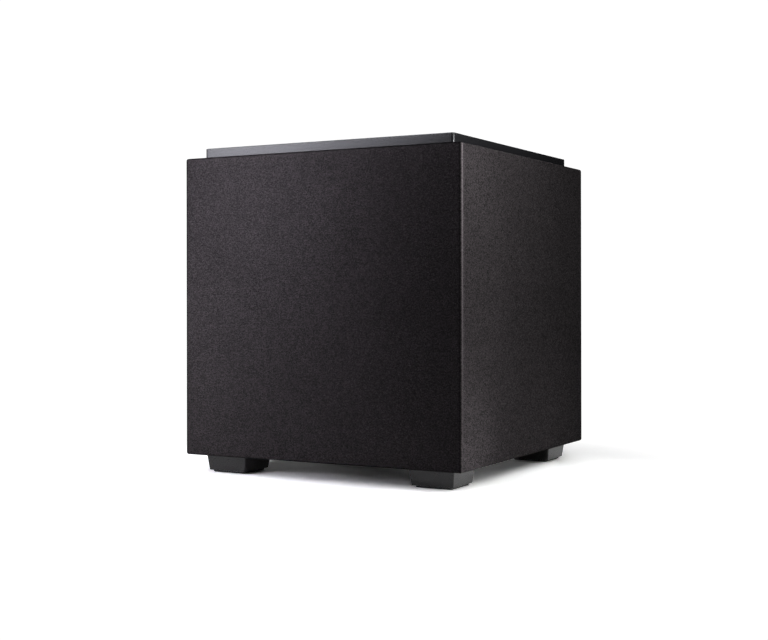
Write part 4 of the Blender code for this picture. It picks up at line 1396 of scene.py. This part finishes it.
def area_light(name, place, target, width, height, power, spread, colour):
    """A soft box that faces its target."""
    lamp = bpy.data.lights.new(name, "AREA")
    lamp.shape = "RECTANGLE"
    lamp.size = width
    lamp.size_y = height
    lamp.energy = power
    lamp.color = colour
    lamp.spread = math.radians(spread)
    thing = bpy.data.objects.new(name, lamp)
    thing.location = place
    thing.rotation_euler = (Vector(target) - Vector(place)).to_track_quat("-Z", "Y").to_euler()
    thing.visible_camera = False
    bpy.context.collection.objects.link(thing)


def build_camera():
    lens = bpy.data.cameras.new("camera")
    lens.lens = CAMERA_LENS
    lens.sensor_width = 36.0
    lens.shift_y = CAMERA_SHIFT
    camera = bpy.data.objects.new("camera", lens)
    level = shifted(*CAMERA_PLACE, turn=math.radians(CAMERA_TURN)) @ Matrix.Rotation(math.pi / 2, 4, "X")
    camera.matrix_world = level @ shifted(turn=math.radians(CAMERA_ROLL))
    bpy.context.collection.objects.link(camera)
    bpy.context.scene.camera = camera


def floor_look():
    """Matt white floor under and close round the object, going over to plain glowing white."""
    look = Shading("floor")
    reach = look.node("VectorMath", {"operation": "LENGTH"}, Vector=look.place()).outputs["Value"]
    far = look.remap(reach, 0.0, 1.0, FLOOR_FADE)
    faint = look.remap(look.noise(0.4), 0.985, 1.0)
    paint = look.node("BsdfDiffuse", Color=look.tinted(FLOOR_PAINT, faint))
    glow = look.node("Emission", Color=(1.0, 1.0, 1.0, 1.0), Strength=WHITE_GLOW)
    mixed = look.node("MixShader", Fac=far)
    look.links.new(paint.outputs[0], mixed.inputs[1])
    look.links.new(glow.outputs[0], mixed.inputs[2])
    look.links.new(mixed.outputs[0], look.nodes["Material Output"].inputs["Surface"])
    look.nodes.remove(look.shader)
    return look.material


def build_floor():
    maker = bmesh.new()
    bmesh.ops.create_grid(maker, x_segments=8, y_segments=8, size=FLOOR_HALF)
    floor = made("floor", maker, floor_look(), shifted(z=-0.0002))
    floor.visible_diffuse = False


def build_surroundings():
    """White behind everything, with almost no light from all round."""
    world = bpy.data.worlds.new("studio")
    world.use_nodes = True
    nodes = world.node_tree.nodes
    links = world.node_tree.links
    ground = nodes["Background"]
    ground.inputs["Color"].default_value = (1.0, 1.0, 1.0, 1.0)
    ray = nodes.new("ShaderNodeLightPath")
    strength = nodes.new("ShaderNodeMapRange")
    strength.inputs["To Min"].default_value = WORLD_FILL
    strength.inputs["To Max"].default_value = WHITE_GLOW
    links.new(ray.outputs["Is Camera Ray"], strength.inputs["Value"])
    links.new(strength.outputs["Result"], ground.inputs["Strength"])
    bpy.context.scene.world = world
    bpy.context.scene.view_settings.view_transform = "Standard"


# Soft boxes: name, place, target, width, height, power, spread, colour
LIGHTS = (
    ("left_glow", (-0.95, -1.00, 0.62), (-0.90, -0.90, 0.50), 0.50, 0.60, 2.80, 60, COOL),
    ("left_strip", (-0.70, -1.00, 0.55), (-0.10, -0.15, 0.30), 0.25, 0.50, 3.19, 180, COOL),
    ("front_spot", (-0.55, -1.25, 0.55), (-0.16, -0.18, 0.26), 0.30, 0.50, 0.228, 20, COOL),
    ("front_top", (-0.08, -0.45, 0.72), (-0.08, -0.18, 0.33), 0.12, 0.12, 0.78, 180, COOL),
    ("front_left", (-0.19, -0.34, 0.13), (-0.19, -0.18, 0.13), 0.04, 0.24, 0.085, 130, PLAIN),
    ("front_right", (0.08, -0.27, 0.44), (0.08, -0.18, 0.35), 0.12, 0.04, 0.070, 180, COOL),
    ("front_near", (-0.08, -0.55, 0.60), (-0.10, -0.18, 0.32), 0.12, 0.12, 0.257, 50, COOL),
    ("far_right", (0.55, -0.186, 0.42), (0.175, -0.10, 0.20), 0.02, 0.40, 1.22, 180, PLAIN),
    ("top_right", (0.28, -0.04, 0.46), (0.175, -0.02, 0.34), 0.04, 0.20, 0.150, 180, PLAIN),
    ("edge_top", (0.27, -0.172, 0.36), (0.175, -0.172, 0.33), 0.03, 0.06, 0.099, 180, PLAIN),
    ("edge_strip", (0.30, -0.172, 0.19), (0.175, -0.172, 0.19), 0.03, 0.30, 0.094, 180, PLAIN),
    ("edge_low", (0.27, -0.172, 0.02), (0.175, -0.172, 0.05), 0.03, 0.06, 0.159, 180, PLAIN),
    ("down_right", (0.50, 0.05, 0.20), (0.35, 0.05, 0.0), 0.10, 0.30, 0.150, 60, PLAIN),
    ("down_front", (0.10, -0.55, 0.25), (0.10, -0.35, 0.0), 0.10, 0.25, 0.060, 70, PLAIN),
    ("low_back", (-0.50, 0.60, 0.03), (0.0, 0.0, 0.0), 0.30, 0.04, 4.96, 180, PLAIN),
    ("overhead", (0.0, -0.2, 2.2), (0.0, -0.1, 0.0), 1.6, 1.6, 3.2, 180, PLAIN),
    ("rear", (-0.6, 1.6, 0.9), (0.0, 0.17, 0.2), 1.0, 1.0, 12.0, 180, PLAIN),
)


def build_lights():
    for values in LIGHTS:
        area_light(*values)


# Finishes for the CAD nodes that stay


def dress_nodes():
    """Gives each CAD node that shows its slot's finish, and softens its edges."""
    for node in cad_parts.values():
        if node.hide_render:
            continue
        slot = node.data.materials[0].name
        node.data.materials[0] = LOOKS[slot.split(".")[0]]
        node.modifiers.new("joined", "WELD").merge_threshold = 0.00001
        edges = node.modifiers.new("edges", "BEVEL")
        edges.width = 0.0004
        edges.segments = 2
        edges.limit_method = "ANGLE"
        edges.angle_limit = math.radians(40)
        node.modifiers.new("even_normals", "WEIGHTED_NORMAL")


def build_all():
    build_camera()
    build_surroundings()
    build_floor()
    build_lights()
    build_sleeve()
    build_seam()
    build_top_plate()
    screws = [build_foot(name) for name in FOOT_NAMES]
    piece("foot_screws", gathered(screws), "plated_steel")
    build_woofer()
    for side in SIDES:
        build_passive(side)
    build_amplifier()
    dress_nodes()


build_all()
